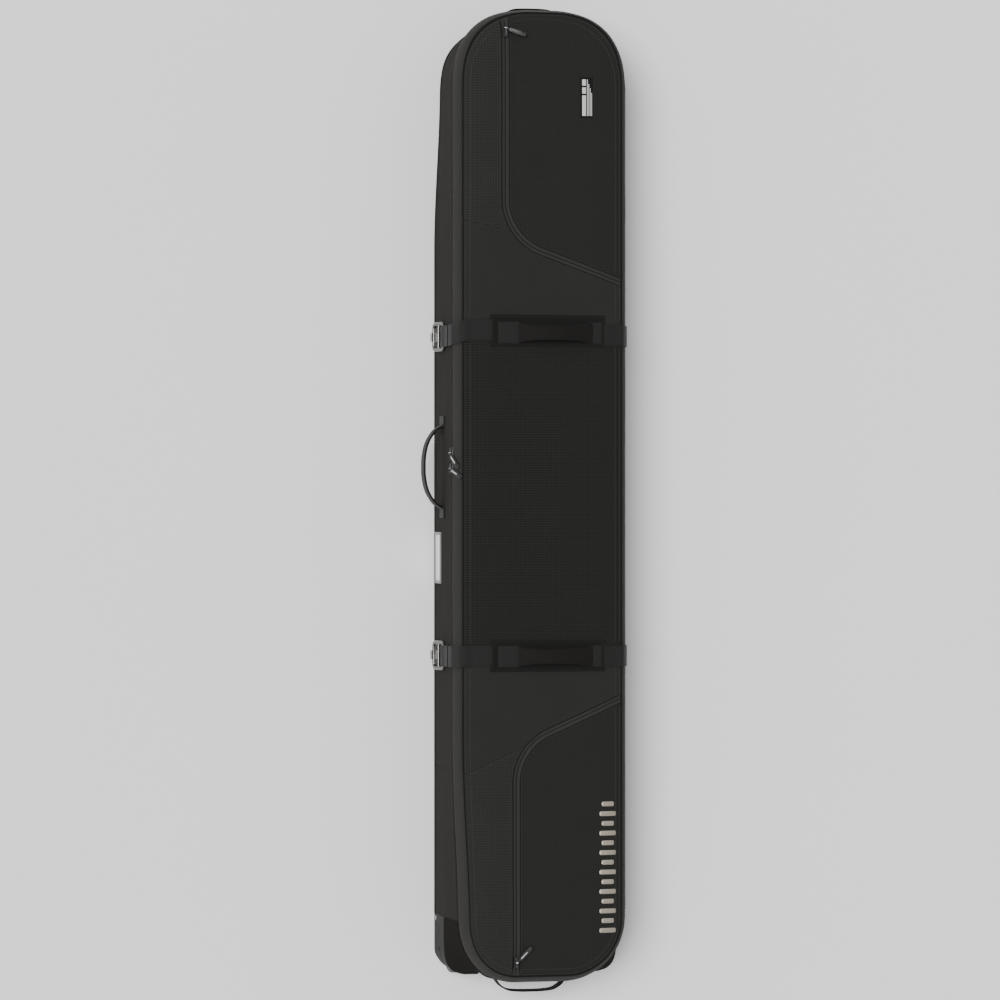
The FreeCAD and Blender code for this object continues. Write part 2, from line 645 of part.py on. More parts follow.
def pocket_zippers():
    low, high = f"{TAPE_MIDDLE} - dims.tape_thick / 2", f"{TAPE_MIDDLE} + dims.tape_thick / 2"
    edge, gap = "(dims.zip_band / 2 - 0.1)", "(dims.zip_gap / 2)"
    heights = ("dims.seam_height - 1", "dims.lid_height + 5")
    fixed = []
    for pocket in POCKETS:
        halves = {}
        for tag, side in (("lid", -1), ("pocket", 1)):
            tape = zipper_strip(f"{pocket}_{tag}_tape", pocket, (f"{side} * {gap}", f"{side} * {edge}"),
                                (low, high),
                                TAPE_END - 0.2)
            coil = zipper_strip(f"{pocket}_{tag}_coil", pocket, (f"{side} * {gap}", f"{side * POCKET_COIL}"),
                                (low, f"{TAPE_MIDDLE} + 2.2"), TAPE_END - 0.2)
            halves[tag] = fuse(f"{pocket}_{tag}_half", tape, coil)
        fold = fold_zone(f"{pocket}_tape_fold", pocket, heights, TAPE_FOLD_GAP / 2)
        stay = fold_zone(f"{pocket}_tape_stay", pocket, heights, -TAPE_FOLD_GAP / 2)
        node(common(f"{pocket}_flap_half", halves["pocket"], fold), f"flap_zip_tape_{pocket}")
        fixed += [halves["lid"], cut(f"{pocket}_end_half", halves["pocket"], stay)]
    node(group("pocket_zip_group", *fixed), "pocket_zip_tapes")
    liners = []
    for pocket in POCKETS:
        sheet = plate(f"{pocket}_liner_plate", "dims.seam_inset + 8", "dims.seam_height - 4.7",
                      "dims.seam_height - 3.7")
        liners.append(common(f"{pocket}_liner", sheet, pocket_zone(f"{pocket}_liner_zone", pocket,
                                                                  ("dims.seam_height - 8",
                                                                   "dims.lid_height"))))
    node(group("liner_group", *liners), "pocket_liners")


def lid_marks():
    """A plain label patch by the head pocket and a row of plain bars near the wheel end."""
    top = "dims.lid_height + 0.05"
    label = box("label_patch", (67, 91), (682, 754), (top, f"{top} + 1.2"))
    emblem = box("emblem", (104, 136), (-791, -548), (top, f"{top} + 0.6"))
    node(group("badge_group", label, emblem), "lid_badges")


# ---------------------------------------------------------------- straps and handles

SLEEVE_X = (-98, 115)
SLEEVE_WIDE = 66
SLEEVE_TALL = 3.6
GRIP_X = (-42, 84)
GRIP_RISE = 17
GRIP_THICK = 4
GRIP_WIDE = 30
STRAP_CLEAR = 1.0
STRAP_ENDS = {"head": 1, "foot": -1}


def handle_loop(name, chord, rise, thick, wide, place, gap, slope):
    """A webbing loop.  In its own frame the ends lie on the X axis, the loop rises along +Z and the
    webbing is wide along Y.  Near its ends it narrows, from gap above the axis and by slope, so that
    it can swing about the axis without meeting what it is sewn to."""
    radius = (chord * chord / 4 + rise * rise) / (2 * rise)
    half_angle = math.asin(chord / 2 / radius)
    centre = Vector(0, 0, rise - radius)
    angles = (-half_angle, 0, half_angle)
    arcs = []
    for r in (radius, radius - thick):
        arcs.append(Part.Arc(*[centre + Vector(math.sin(a) * r, 0, math.cos(a) * r) for a in angles]))
    outer, inner = arcs
    ends = [Part.LineSegment(outer.StartPoint, inner.StartPoint),
            Part.LineSegment(outer.EndPoint, inner.EndPoint)]
    face = Part.Face(Part.Wire(Part.__sortEdges__([edge.toShape() for edge in arcs + ends])))
    face.translate(Vector(0, -wide / 2, 0))
    neck, top = 2.0, rise + wide
    width_at_top = neck + (top - gap) * slope
    corners = [(-neck, gap), (neck, gap), (width_at_top, top), (-width_at_top, top), (-neck, gap)]
    wedge = Part.Face(Part.makePolygon([Vector(-chord, y, z) for y, z in corners]))
    made = doc.addObject("Part::Feature", name)
    made.Shape = face.extrude(Vector(0, wide, 0)).common(wedge.extrude(Vector(2 * chord, 0, 0)))
    made.Placement = place
    return made


def strap_line():
    """The lid strap's inner surface, across the bag from the zipper side to the hinge side."""
    half = size(HALF_WIDTH)
    face = size("dims.width / 2 - dims.face_inset")
    seam = size("dims.width / 2 - dims.seam_inset + dims.piping")
    right = [(face, size("dims.lid_height") + 0.2), (seam + 2.6, size("dims.seam_height") + 1.8),
             (half + STRAP_CLEAR, size("dims.shoulder_base") + 2)]
    return [(-x, z) for x, z in reversed(right)] + right


def lid_straps():
    line = strap_line()
    points = band_points(line, 0, size("dims.webbing"))
    straps, sleeves, anchors = [], [], []
    high = f"(dims.lid_height + {SLEEVE_TALL})"
    for tag, side in STRAP_ENDS.items():
        y = f"({side} * dims.strap_at)"
        straps.append(polygon(f"lid_strap_{tag}", points, "XZ_Plane", "dims.strap_width", f"-1 * {y}"))
        block = box(f"sleeve_block_{tag}", SLEEVE_X, (f"{y} - {SLEEVE_WIDE / 2}", f"{y} + {SLEEVE_WIDE / 2}"),
                    ("dims.lid_height + 0.05", high))
        tunnel = box(f"sleeve_tunnel_{tag}", (SLEEVE_X[0] - 1, SLEEVE_X[1] + 1),
                     (f"{y} - dims.strap_width / 2 - 0.3", f"{y} + dims.strap_width / 2 + 0.3"),
                     ("dims.lid_height", "dims.lid_height + dims.webbing + 0.4"))
        sleeves.append(cut(f"sleeve_{tag}", block, tunnel))
        for end, x in (("left", (-86, GRIP_X[0])), ("right", (GRIP_X[1], 108))):
            anchors.append(box(f"grip_anchor_{tag}_{end}", x,
                               (f"{y} - dims.strap_width / 2", f"{y} + dims.strap_width / 2"),
                               (f"{high} + 0.05", f"{high} + 2.2")))
        middle = Vector((GRIP_X[0] + GRIP_X[1]) / 2, size(y), size(f"{high} + 2.2"))
        node(handle_loop(f"grip_{tag}", GRIP_X[1] - GRIP_X[0], GRIP_RISE, GRIP_THICK, GRIP_WIDE,
                         Placement(middle, Rotation()), 0.6, 1.2), f"lid_handle_{tag}")
    node(group("straps_group", *straps), "lid_straps")
    node(group("sleeves_group", *sleeves, *anchors), "strap_sleeves")

    sides = [box(f"side_strap_{tag}", (f"{HALF_WIDTH} + 0.2", f"{HALF_WIDTH} + 0.2 + dims.webbing"),
                 (f"{side} * dims.strap_at - dims.strap_width / 2",
                  f"{side} * dims.strap_at + dims.strap_width / 2"),
                 ("10", "dims.gusset_top - 8")) for tag, side in STRAP_ENDS.items()]
    node(group("side_straps_group", *sides), "side_straps")


RING_TALL, RING_WIDE, RING_BAR = 48, 52, 5.0
RING_TILT = 14
RING_TOP_X, RING_TOP_Z = -165, 113
TAIL_BOTTOM = 119


def strap_ring(tag, y):
    """A metal ring with a middle bar, its top bar held by the strap and its foot leaning outwards."""
    half, tall, bar = RING_WIDE / 2, RING_TALL, RING_BAR
    frame = doc.addObject("Part::Box", f"ring_frame_{tag}")
    frame.Length, frame.Width, frame.Height = bar * 0.8, RING_WIDE, RING_TALL
    frame.Placement = Placement(Vector(-bar * 0.4, -half, -tall + bar / 2), Rotation())
    frame = rounded(f"ring_rounded_{tag}", frame, 9, lambda e: abs(e.tangentAt(e.FirstParameter).x) > 0.9)
    windows = []
    span = (tall - 3 * bar) / 2
    for n in range(2):
        window = doc.addObject("Part::Box", f"ring_window_{tag}_{n}")
        window.Length, window.Width, window.Height = 4 * bar, RING_WIDE - 2 * bar, span
        window.Placement = Placement(Vector(-2 * bar, -half + bar, -bar / 2 - span - n * (span + bar)),
                                     Rotation())
        windows.append(window)
    ring_piece = cut(f"ring_{tag}", frame, *windows)
    ring_piece.Placement = Placement(Vector(RING_TOP_X, size(y), RING_TOP_Z),
                                     Rotation(Vector(0, 1, 0), RING_TILT))
    return ring_piece


def strap_ends():
    """On the zipper side each lid strap ends in a tail with a metal ring, held by a hook on the base."""
    hooks = []
    top = size("dims.shoulder_base") + 1.7
    outer = size(HALF_WIDTH) + STRAP_CLEAR
    thick = size("dims.webbing")
    for tag, side in STRAP_ENDS.items():
        y = f"{side} * dims.strap_at"
        across = (f"{y} - dims.strap_width / 2", f"{y} + dims.strap_width / 2")
        tail = box(f"tail_{tag}", (-outer - thick, -outer), across, (TAIL_BOTTOM, top))
        wrap = box(f"wrap_{tag}", (RING_TOP_X - 4.5, -outer), across, (RING_TOP_Z - 4.5, TAIL_BOTTOM))
        slot = box(f"wrap_slot_{tag}", (RING_TOP_X - 2.7, RING_TOP_X + 2.7), (f"{y} - 40", f"{y} + 40"),
                   (RING_TOP_Z - 2.9, RING_TOP_Z + 2.9))
        node(cut(f"tail_cut_{tag}", fuse(f"tail_both_{tag}", tail, wrap), slot), f"strap_tail_{tag}")
        node(strap_ring(tag, y), f"strap_ring_{tag}")

        lean = math.radians(RING_TILT)
        reach = RING_TALL - RING_BAR
        foot_x, foot_z = RING_TOP_X - reach * math.sin(lean), RING_TOP_Z - reach * math.cos(lean)
        wall = -size(HALF_WIDTH)
        profile = [(wall, foot_z - 16), (wall - 2, foot_z - 16), (wall - 2, foot_z - 5.5),
                   (foot_x - 6, foot_z - 5.5),
                   (foot_x - 6, foot_z + 1), (foot_x - 3.4, foot_z + 1), (foot_x - 3.4, foot_z - 3.2),
                   (wall - 2, foot_z - 3.2), (wall - 2, foot_z + 14), (wall, foot_z + 14)]
        hooks.append(polygon(f"hook_{tag}", profile, "XZ_Plane", "16", f"-1 * ({y})"))
    node(group("hooks_group", *hooks), "strap_hooks")


SIDE_HANDLE_Y = 53
SIDE_HANDLE = {"chord": 150, "rise": 38, "thick": 4, "wide": 30}
FOOT_HANDLE = {"chord": 130, "rise": 26, "thick": 3, "wide": 25}
HEAD_HANDLE = {"chord": 96, "rise": 12, "thick": 3, "wide": 25}
HANDLE_Z = 88
PATCH_THICK, PATCH_LONG, PATCH_HALF = 2, 22, 20


def end_patch_y(x, end):
    """How far along the bag a patch on the end wall stands at a distance x from the middle."""
    radius = size("dims.head_radius" if end > 0 else "dims.foot_radius")
    flat = size(HALF_WIDTH) - radius
    return end * (size(HEAD) - radius + PATCH_THICK + math.sqrt(radius**2 - max(x - flat, 0) ** 2))


def carry_handles():
    """A carrying handle on the zipper side and a handle on each end, with the patches they are sewn to."""
    wall_x = -size(HALF_WIDTH) - PATCH_THICK
    turn = Rotation(Vector(0, 1, 0), Vector(0, 0, -1), Vector(-1, 0, 0), "XZY")
    place = Placement(Vector(wall_x, SIDE_HANDLE_Y, HANDLE_Z), turn)
    node(handle_loop("side_loop", *SIDE_HANDLE.values(), place, 0.8, 1.0), "side_handle")
    patches = []
    for way in (-1, 1):
        near, far = sorted(SIDE_HANDLE_Y + way * (SIDE_HANDLE["chord"] / 2 + d) for d in (0, PATCH_LONG))
        patches.append(box(f"side_patch_{way + 1}", (wall_x, wall_x + PATCH_THICK), (near, far),
                           (HANDLE_Z - PATCH_HALF, HANDLE_Z + PATCH_HALF)))
    wall = ring("end_patch_ring", -PATCH_THICK, PATCH_THICK, HANDLE_Z - PATCH_HALF, HANDLE_Z + PATCH_HALF)
    for name, end, loop in (("foot", -1, FOOT_HANDLE), ("head", 1, HEAD_HANDLE)):
        half = loop["chord"] / 2
        y = end_patch_y(half, end)
        turn = Rotation(Vector(1, 0, 0), Vector(0, 0, -end), Vector(0, end, 0), "XZY")
        node(handle_loop(f"{name}_loop", *loop.values(), Placement(Vector(0, y, HANDLE_Z), turn), 0.8, 1.0),
             f"{name}_handle")
        for way in (-1, 1):
            zone = box(f"{name}_patch_zone_{way + 1}", sorted((way * half, way * (half + PATCH_LONG))),
                       (y - 40, y + 40),
                       ALL_HEIGHTS)
            patches.append(common(f"{name}_patch_{way + 1}", wall, zone))
    node(group("patch_group", *patches), "handle_patches")


ID_Y = (-160, -66)
ID_Z = (14, 66)
ID_BORDER = 5


def id_window():
    """A clear pocket for an address card on the zipper side."""
    wall = -size(HALF_WIDTH)
    b = ID_BORDER
    rim = box("id_rim", (wall - 2.2, wall - 0.05), ID_Y, ID_Z)
    opening = box("id_opening", (wall - 3, wall + 1), (ID_Y[0] + b, ID_Y[1] - b), (ID_Z[0] + b, ID_Z[1] - b))
    node(cut("id_frame_cut", rim, opening), "id_frame")
    inner_y, inner_z = (ID_Y[0] + b + 0.1, ID_Y[1] - b - 0.1), (ID_Z[0] + b + 0.1, ID_Z[1] - b - 0.1)
    node(box("id_card_block", (wall - 0.7, wall - 0.05), inner_y, inner_z), "id_card")
    node(box("id_lens_block", (wall - 1.6, wall - 0.8), inner_y, inner_z), "id_window")


# ---------------------------------------------------------------- zipper sliders and pulls

PLATE_THICK = 1.4
COIL_CLEAR = 0.5
BRIDGE_BAR, BRIDGE_UP = 1.5, 3.6
RING_OUTER, RING_INNER = 3.2, 1.6
TAB_THICK, TAB_WIDE = 2.2, 10
TAB_START, NECK_WIDE = 6.0, 3.6


def slider(name, place, top, bottom, half_width):
    """A zipper slider.  In its own frame the zipper runs along Y, the coils lie between z = bottom and
    z = top, and a bridge for the pull stands on the upper plate."""
    half_long = size("dims.slider_long") / 2
    web = size("dims.zip_gap") / 2 - 0.3

    def block(low, high):
        return Part.makeBox(*(b - a for a, b in zip(low, high)), Vector(*low))

    upper, lower = top + COIL_CLEAR, bottom - COIL_CLEAR
    bar = upper + PLATE_THICK + BRIDGE_UP
    parts = [block((-half_width, -half_long, upper), (half_width, half_long, upper + PLATE_THICK)),
             block((-half_width, -half_long, lower - PLATE_THICK), (half_width, half_long, lower)),
             block((-web, half_long - 7, lower), (web, half_long - 1, upper)),
             Part.makeCylinder(BRIDGE_BAR, half_long * 2 - 4, Vector(0, 2 - half_long, bar), Vector(0, 1, 0))]
    for way in (-1, 1):
        y = way * (half_long - 3)
        parts.append(block((-1.5, y - 1, upper + PLATE_THICK / 2), (1.5, y + 1, bar)))
    made = doc.addObject("Part::Feature", name)
    made.Shape = parts[0].multiFuse(parts[1:]).removeSplitter()
    made.Placement = place
    return bar


def pull(name, centre, along, up, sink):
    """A pull: a ring round the bridge bar, a narrow neck, and a tab along a direction, its flat side
    facing up.  sink moves the tab off the ring's middle, along up."""
    along, up = Vector(along).normalize(), Vector(up).normalize()
    across = up.cross(along)
    turn = Rotation(along, across, up, "XZY")
    low = sink - TAB_THICK / 2
    tab = Part.makeBox(size("dims.pull_long") - TAB_START, TAB_WIDE, TAB_THICK,
                       Vector(TAB_START, -TAB_WIDE / 2, low))
    tab = tab.makeFillet(3, [e for e in tab.Edges if abs(e.tangentAt(e.FirstParameter).z) > 0.9])
    tab = tab.fuse(Part.makeBox(TAB_START, NECK_WIDE, TAB_THICK, Vector(2.2, -NECK_WIDE / 2, low)))
    tab.Placement = Placement(Vector(), turn)
    loop = Part.makeCylinder(RING_OUTER, 4, Vector(0, -2, 0), Vector(0, 1, 0))
    bore = Part.makeCylinder(RING_INNER, 60, Vector(0, -30, 0), Vector(0, 1, 0))
    made = doc.addObject("Part::Feature", name)
    made.Shape = tab.fuse(loop).cut(bore).removeSplitter()
    made.Placement = Placement(centre, Rotation())
    return made


MAIN_SLIDERS = {"head": (78, 1.0), "foot": (50, 0.45)}
MAIN_TAB_SINK = 3.3
POCKET_SLIDERS_Y = {"head": 836, "foot": -840}


def sliders_and_pulls():
    coil_middle = -size(f"{HALF_WIDTH} - (dims.wall - 1.4) - {COIL_DEEP / 2}")
    height = size("dims.zip_height")
    rise = size("dims.seam_height - dims.shoulder_base")
    run = size("dims.seam_inset")
    slope = Vector(run, 0, rise).normalize()
    outward = Vector(-slope.z, 0, slope.x)
    turn = Rotation(Vector(0, 0, 1), Vector(0, 1, 0), Vector(-1, 0, 0), "XZY")
    for tag, (y, drop) in MAIN_SLIDERS.items():
        name = f"main_slider_{tag}"
        bar = slider(name, Placement(Vector(coil_middle, y, height), turn), COIL_DEEP / 2, -COIL_DEEP / 2,
                     3.6)
        node(doc.getObject(name), name)
        centre = Vector(coil_middle - bar, y, height)
        tab = pull(f"main_pull_{tag}", centre, slope + Vector(0, -drop, 0), outward, MAIN_TAB_SINK)
        node(tab, f"main_pull_{tag}")
    low, high = size(f"{TAPE_MIDDLE} - dims.tape_thick / 2"), size(f"{TAPE_MIDDLE} + 2.2")
    for tag, way, along in (("head", 1, Vector(1, -0.3, 0)), ("foot", -1, Vector(1, 1, 0))):
        name = f"pocket_slider_{tag}"
        x = size(POCKETS[tag]["x"])
        turn = Rotation() if way > 0 else Rotation(Vector(0, 0, 1), 180)
        bar = slider(name, Placement(Vector(x, POCKET_SLIDERS_Y[tag], 0), turn), high, low, 4.5)
        node(doc.getObject(name), name)
        node(pull(f"pocket_pull_{tag}", Vector(x, POCKET_SLIDERS_Y[tag], bar), along, Vector(0, 0, 1), -1.2),
             f"pocket_pull_{tag}")


# ---------------------------------------------------------------- build and write

for build in (base_shell, main_zipper, padding, tie_downs, wheels, lid_shell, pocket_zippers, lid_marks,
              lid_straps,
              strap_ends, carry_handles, id_window, sliders_and_pulls):
    build()
doc.recompute()

failed = [f.Name for f in doc.Objects if "Invalid" in f.State or "Error" in f.State]
if failed:
    raise RuntimeError(f"features that failed: {failed}")
for feature in nodes:
    if feature.Shape.isNull() or not feature.Shape.isValid() or not feature.Shape.Solids:
        raise RuntimeError(f"{feature.Label} has no valid solid")

os.makedirs("parts", exist_ok=True)
for feature in nodes:
    feature.Shape.exportStep(f"parts/{feature.Label}.step")
print(len(nodes), "nodes,", sum(len(feature.Shape.Solids) for feature in nodes), "solids")
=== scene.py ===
import functools
import json
import math

import bmesh
import bpy
from mathutils import Matrix, Vector, geometry, noise


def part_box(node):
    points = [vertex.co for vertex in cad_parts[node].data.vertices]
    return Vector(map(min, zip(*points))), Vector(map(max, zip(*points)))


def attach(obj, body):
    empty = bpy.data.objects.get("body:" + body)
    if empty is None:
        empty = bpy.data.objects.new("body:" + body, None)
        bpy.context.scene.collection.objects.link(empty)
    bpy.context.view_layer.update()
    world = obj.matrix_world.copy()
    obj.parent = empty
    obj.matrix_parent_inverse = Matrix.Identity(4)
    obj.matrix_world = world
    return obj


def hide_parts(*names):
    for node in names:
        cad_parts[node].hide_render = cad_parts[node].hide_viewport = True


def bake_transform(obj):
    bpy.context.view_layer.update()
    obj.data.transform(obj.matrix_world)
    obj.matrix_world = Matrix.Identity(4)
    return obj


# Looks of the wheeled snowboard bag.  Shapes are worked out in millimetres, in the frame of the CAD
# model, and written in metres.  +Z is the lid side, +Y the head end, -X the side that unzips.

MM = 0.001
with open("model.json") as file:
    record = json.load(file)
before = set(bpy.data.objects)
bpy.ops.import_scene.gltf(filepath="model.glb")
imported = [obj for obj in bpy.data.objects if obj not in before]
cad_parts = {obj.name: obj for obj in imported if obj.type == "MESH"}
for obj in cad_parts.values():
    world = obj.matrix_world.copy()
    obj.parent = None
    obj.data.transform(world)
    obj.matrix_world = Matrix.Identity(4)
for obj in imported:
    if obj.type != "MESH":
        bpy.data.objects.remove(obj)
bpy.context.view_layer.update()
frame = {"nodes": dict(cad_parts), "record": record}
SHARP = math.radians(48)


def corners(node):
    """A CAD node's lowest and highest corners, in millimetres."""
    return [Vector(corner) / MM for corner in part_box(node)]


# ---------------------------------------------------------------- materials

WHITE = (1, 1, 1)


class Look:
    """A material, built node by node round one principled shader."""

    def __init__(self, name, colour, roughness, **sockets):
        self.material = bpy.data.materials.new(name)
        self.material.use_nodes = True
        self.tree = self.material.node_tree
        self.shader = self.tree.nodes["Principled BSDF"]
        self.shader.inputs["Base Color"].default_value = (*colour, 1)
        self.shader.inputs["Roughness"].default_value = roughness
        for socket, value in sockets.items():
            self.shader.inputs[socket.replace("_", " ")].default_value = value
        self.colour = colour

    def add(self, kind, **values):
        """A new node with its inputs set by name, from numbers or from other sockets."""
        made = self.tree.nodes.new(kind)
        for name, value in values.items():
            if hasattr(made, name) and not isinstance(value, bpy.types.NodeSocket):
                setattr(made, name, value)
            else:
                self.feed(made.inputs[name.replace("_", " ")], value)
        return made

    def feed(self, socket, value):
        """Links a socket to another, or gives it a number."""
        if isinstance(value, bpy.types.NodeSocket):
            self.tree.links.new(value, socket)
        else:
            socket.default_value = value

    def math(self, operation, *values):
        """The result of a Math node."""
        made = self.tree.nodes.new("ShaderNodeMath")
        made.operation = operation
        for socket, value in zip(made.inputs, values):
            self.feed(socket, value)
        return made.outputs[0]

    def ramp(self, value, low, high):
        """0 below low, 1 above high, smooth between them."""
        made = self.add("ShaderNodeMapRange", interpolation_type="SMOOTHSTEP", Value=value, From_Min=low,
                        From_Max=high)
        return made.outputs[0]

    def place(self):
        """The place in the cloth: along, across and up, from the piece's own weave coordinates."""
        made = self.add("ShaderNodeAttribute", attribute_name="weave")
        split = self.add("ShaderNodeSeparateXYZ", Vector=made.outputs["Vector"])
        return made.outputs["Vector"], split.outputs[0], split.outputs[1]

    def object_place(self):
        """The place in a CAD node, which has no weave coordinates."""
        return self.add("ShaderNodeTexCoord").outputs["Object"]

    def noise(self, where, scale, detail=3.0):
        """Cloudy noise round 0.5; scale is in features a metre."""
        return self.add("ShaderNodeTexNoise", Vector=where, Scale=scale, Detail=detail).outputs["Fac"]

    def shade(self, factor):
        """Multiplies the base colour by a factor that changes over the surface."""
        made = self.tree.nodes.new("ShaderNodeVectorMath")
        made.operation = "SCALE"
        made.inputs[0].default_value = self.colour
        self.feed(made.inputs["Scale"], factor)
        self.tree.links.new(made.outputs[0], self.shader.inputs["Base Color"])

    def bump(self, height, depth, strength=1.0):
        """Relief: height from 0 to 1 stands for depth, in millimetres."""
        made = self.add("ShaderNodeBump", Height=height, Distance=depth * MM, Strength=strength)
        self.tree.links.new(made.outputs[0], self.shader.inputs["Normal"])


def wave(look, value, pitch):
    """A wave from 0 to 1 that repeats every pitch millimetres."""
    turns = look.math("MULTIPLY", value, 2 * math.pi / (pitch * MM))
    return look.math("MULTIPLY_ADD", look.math("SINE", turns), 0.5, 0.5)


def grid_lines(look, value, pitch, wide):
    """1 on narrow lines that repeat every pitch, wide millimetres wide, and 0 between them."""
    part = look.math("FRACT", look.math("DIVIDE", value, pitch * MM))
    from_middle = look.math("ABSOLUTE", look.math("SUBTRACT", part, 0.5))
    edge = wide / pitch / 2
    return look.math("SUBTRACT", 1.0, look.ramp(from_middle, edge * 0.5, edge * 1.5))


def worn(look, where, amount):
    """A factor round 1 with broad clouds and fine specks."""
    broad = look.math("MULTIPLY_ADD", look.noise(where, 14), amount, 1 - amount / 2)
    fine = look.math("MULTIPLY_ADD", look.noise(where, 900, 2.0), amount * 0.8, 1 - amount * 0.4)
    return look.math("MULTIPLY", broad, fine)


def plain_cloth(name, colour, relief=0.25, shine=0.14):
    """Plain coated polyester: an even over-and-under weave."""
    look = Look(name, colour, 0.9, Sheen_Weight=shine / 3, Sheen_Roughness=0.5, Specular_IOR_Level=shine)
    where, along, across = look.place()
    over = look.math("MULTIPLY", wave(look, along, 1.3), wave(look, across, 1.3))
    look.shade(look.math("MULTIPLY", worn(look, where, 0.18), look.math("MULTIPLY_ADD", over, 0.25, 0.88)))
    look.bump(look.math("ADD", over, look.math("MULTIPLY", look.noise(where, 60), 1.5)), relief)
    return look.material


def ripstop(name, colour, contrast=1.1, pitch=4.6):
    """Thin cloth with a square grid of thicker threads."""
    look = Look(name, colour, 0.82, Sheen_Weight=0.04, Sheen_Roughness=0.5, Specular_IOR_Level=0.14)
    where, along, across = look.place()
    lines = look.math("MAXIMUM", grid_lines(look, along, pitch, 1.0), grid_lines(look, across, pitch, 1.0))
    threads = look.math("MULTIPLY", wave(look, along, 0.8), wave(look, across, 0.8))
    look.shade(look.math("MULTIPLY", worn(look, where, 0.16),
                         look.math("MULTIPLY_ADD", lines, contrast, 0.86)))
    height = look.math("ADD", lines, look.math("MULTIPLY", threads, 0.35))
    look.bump(look.math("ADD", height, look.math("MULTIPLY", look.noise(where, 45), 2.0)), 0.3)
    return look.material


def twill(name, colour):
    """Cloth with close diagonal ribs."""
    look = Look(name, colour, 0.82, Sheen_Weight=0.05, Sheen_Roughness=0.5, Specular_IOR_Level=0.14)
    where, along, across = look.place()
    ribs = wave(look, look.math("ADD", along, look.math("MULTIPLY", across, 0.8)), 1.7)
    threads = wave(look, across, 1.1)
    look.shade(look.math("MULTIPLY", worn(look, where, 0.2), look.math("MULTIPLY_ADD", ribs, 0.3, 0.86)))
    height = look.math("ADD", ribs, look.math("MULTIPLY", threads, 0.4))
    look.bump(look.math("ADD", height, look.math("MULTIPLY", look.noise(where, 45), 2.0)), 0.3)
    return look.material


def webbing(name, colour, rib=1.9):
    """Woven strap: ribs across it and flatter woven edges."""
    look = Look(name, colour, 0.75, Sheen_Weight=0.05, Sheen_Roughness=0.45, Specular_IOR_Level=0.2)
    where, along, across = look.place()
    ribs = wave(look, along, rib)
    cords = wave(look, across, 2.4)
    both = look.math("MULTIPLY_ADD", ribs, 0.6, look.math("MULTIPLY", cords, 0.4))
    look.shade(look.math("MULTIPLY", worn(look, where, 0.2), look.math("MULTIPLY_ADD", both, 0.5, 0.75)))
    look.bump(both, 0.35)
    return look.material


def moulded(name, colour, roughness, grain=700, relief=0.12, **sockets):
    """Moulded plastic or rubber with a fine cast grain and scuffed patches."""
    look = Look(name, colour, roughness, **sockets)
    where = look.object_place()
    look.shade(look.math("MULTIPLY_ADD", look.noise(where, 25), 0.35, 0.82))
    look.bump(look.noise(where, grain, 2.0), relief)
    look.feed(look.shader.inputs["Roughness"],
              look.math("MULTIPLY_ADD", look.noise(where, 60), 0.2, roughness - 0.1))
    return look.material


def metal(name, colour, roughness, scratch=0.06):
    """Plated metal, with faint wear in the finish."""
    look = Look(name, colour, roughness, Metallic=1.0)
    where = look.object_place()
    look.shade(look.math("MULTIPLY_ADD", look.noise(where, 120), 0.16, 0.92))
    look.feed(look.shader.inputs["Roughness"],
              look.math("MULTIPLY_ADD", look.noise(where, 400), scratch * 2, roughness - scratch))
    look.bump(look.noise(where, 250, 2.0), 0.03)
    return look.material


def clear_film(name):
    """Clear flexible plastic, slightly rippled."""
    look = Look(name, (0.95, 0.96, 0.96), 0.12, IOR=1.45, Alpha=0.1, Specular_IOR_Level=0.5)
    look.bump(look.noise(look.object_place(), 60), 0.3)
    return look.material


SHELL = plain_cloth("shell_cloth", (0.0275, 0.0265, 0.0245), 0.25, 0.02)
SHOULDER = plain_cloth("shoulder_cloth", (0.025, 0.0243, 0.0222))
# A darker copy of the shell cloth: painted shade for the wheel end and the walls over the wheels, which face
# away from the light.
FOOT_SHADED_CLOTH = plain_cloth("foot_cloth_painted_shade", (0.0150, 0.0140, 0.0125), 0.35, 0.02)
GRID = ripstop("grid_cloth", (0.0092, 0.0093, 0.0084))
STRIP_GRID = ripstop("strip_grid_cloth", (0.0160, 0.0162, 0.0148), 0.8)
POCKET_GRID = ripstop("pocket_grid_cloth", (0.0142, 0.0144, 0.0130), 0.4)
TWILL = twill("twill_cloth", (0.0185, 0.0185, 0.0170))
TAPE = plain_cloth("zipper_tape_cloth", (0.0295, 0.030, 0.0275), 0.2)
MAIN_TAPE = plain_cloth("main_tape_cloth", (0.034, 0.030, 0.0255), 0.2)
PIPING = plain_cloth("piping_cloth", (0.007, 0.007, 0.0067), 0.15)
LINING = plain_cloth("lining_cloth", (0.045, 0.046, 0.05), 0.4)
STRAP = webbing("strap_webbing", (0.0105, 0.0107, 0.0101))
SLEEVE = plain_cloth("sleeve_cloth", (0.0085, 0.0083, 0.0078), 0.35)
GRIP = webbing("grip_webbing_look", (0.0040, 0.0030, 0.0026), 2.6)
THREAD = webbing("sewing_thread", (0.045, 0.045, 0.041), 0.8)
LIGHT_THREAD = webbing("light_thread", (0.03, 0.03, 0.028), 0.8)
PLASTIC = moulded("black_plastic_look", (0.006, 0.006, 0.0058), 0.68, Specular_IOR_Level=0.2)
RUBBER = moulded("pull_rubber_look", (0.010, 0.010, 0.010), 0.42)
TREAD = moulded("urethane_look", (0.016, 0.016, 0.016), 0.5, 1200, 0.2)
HUB = moulded("hub_look", (0.055, 0.055, 0.06), 0.45)
FRAME_GREY = moulded("window_frame_look", (0.20, 0.20, 0.20), 0.5)
CARD = moulded("card_look", (0.86, 0.86, 0.84), 0.7, 300, 0.05)
CHROME = metal("chrome_look", (0.17, 0.166, 0.16), 0.24)
SATIN = metal("satin_silver", (0.75, 0.75, 0.74), 0.3)
DARK_METAL = metal("dark_metal_look", (0.05, 0.05, 0.052), 0.35)
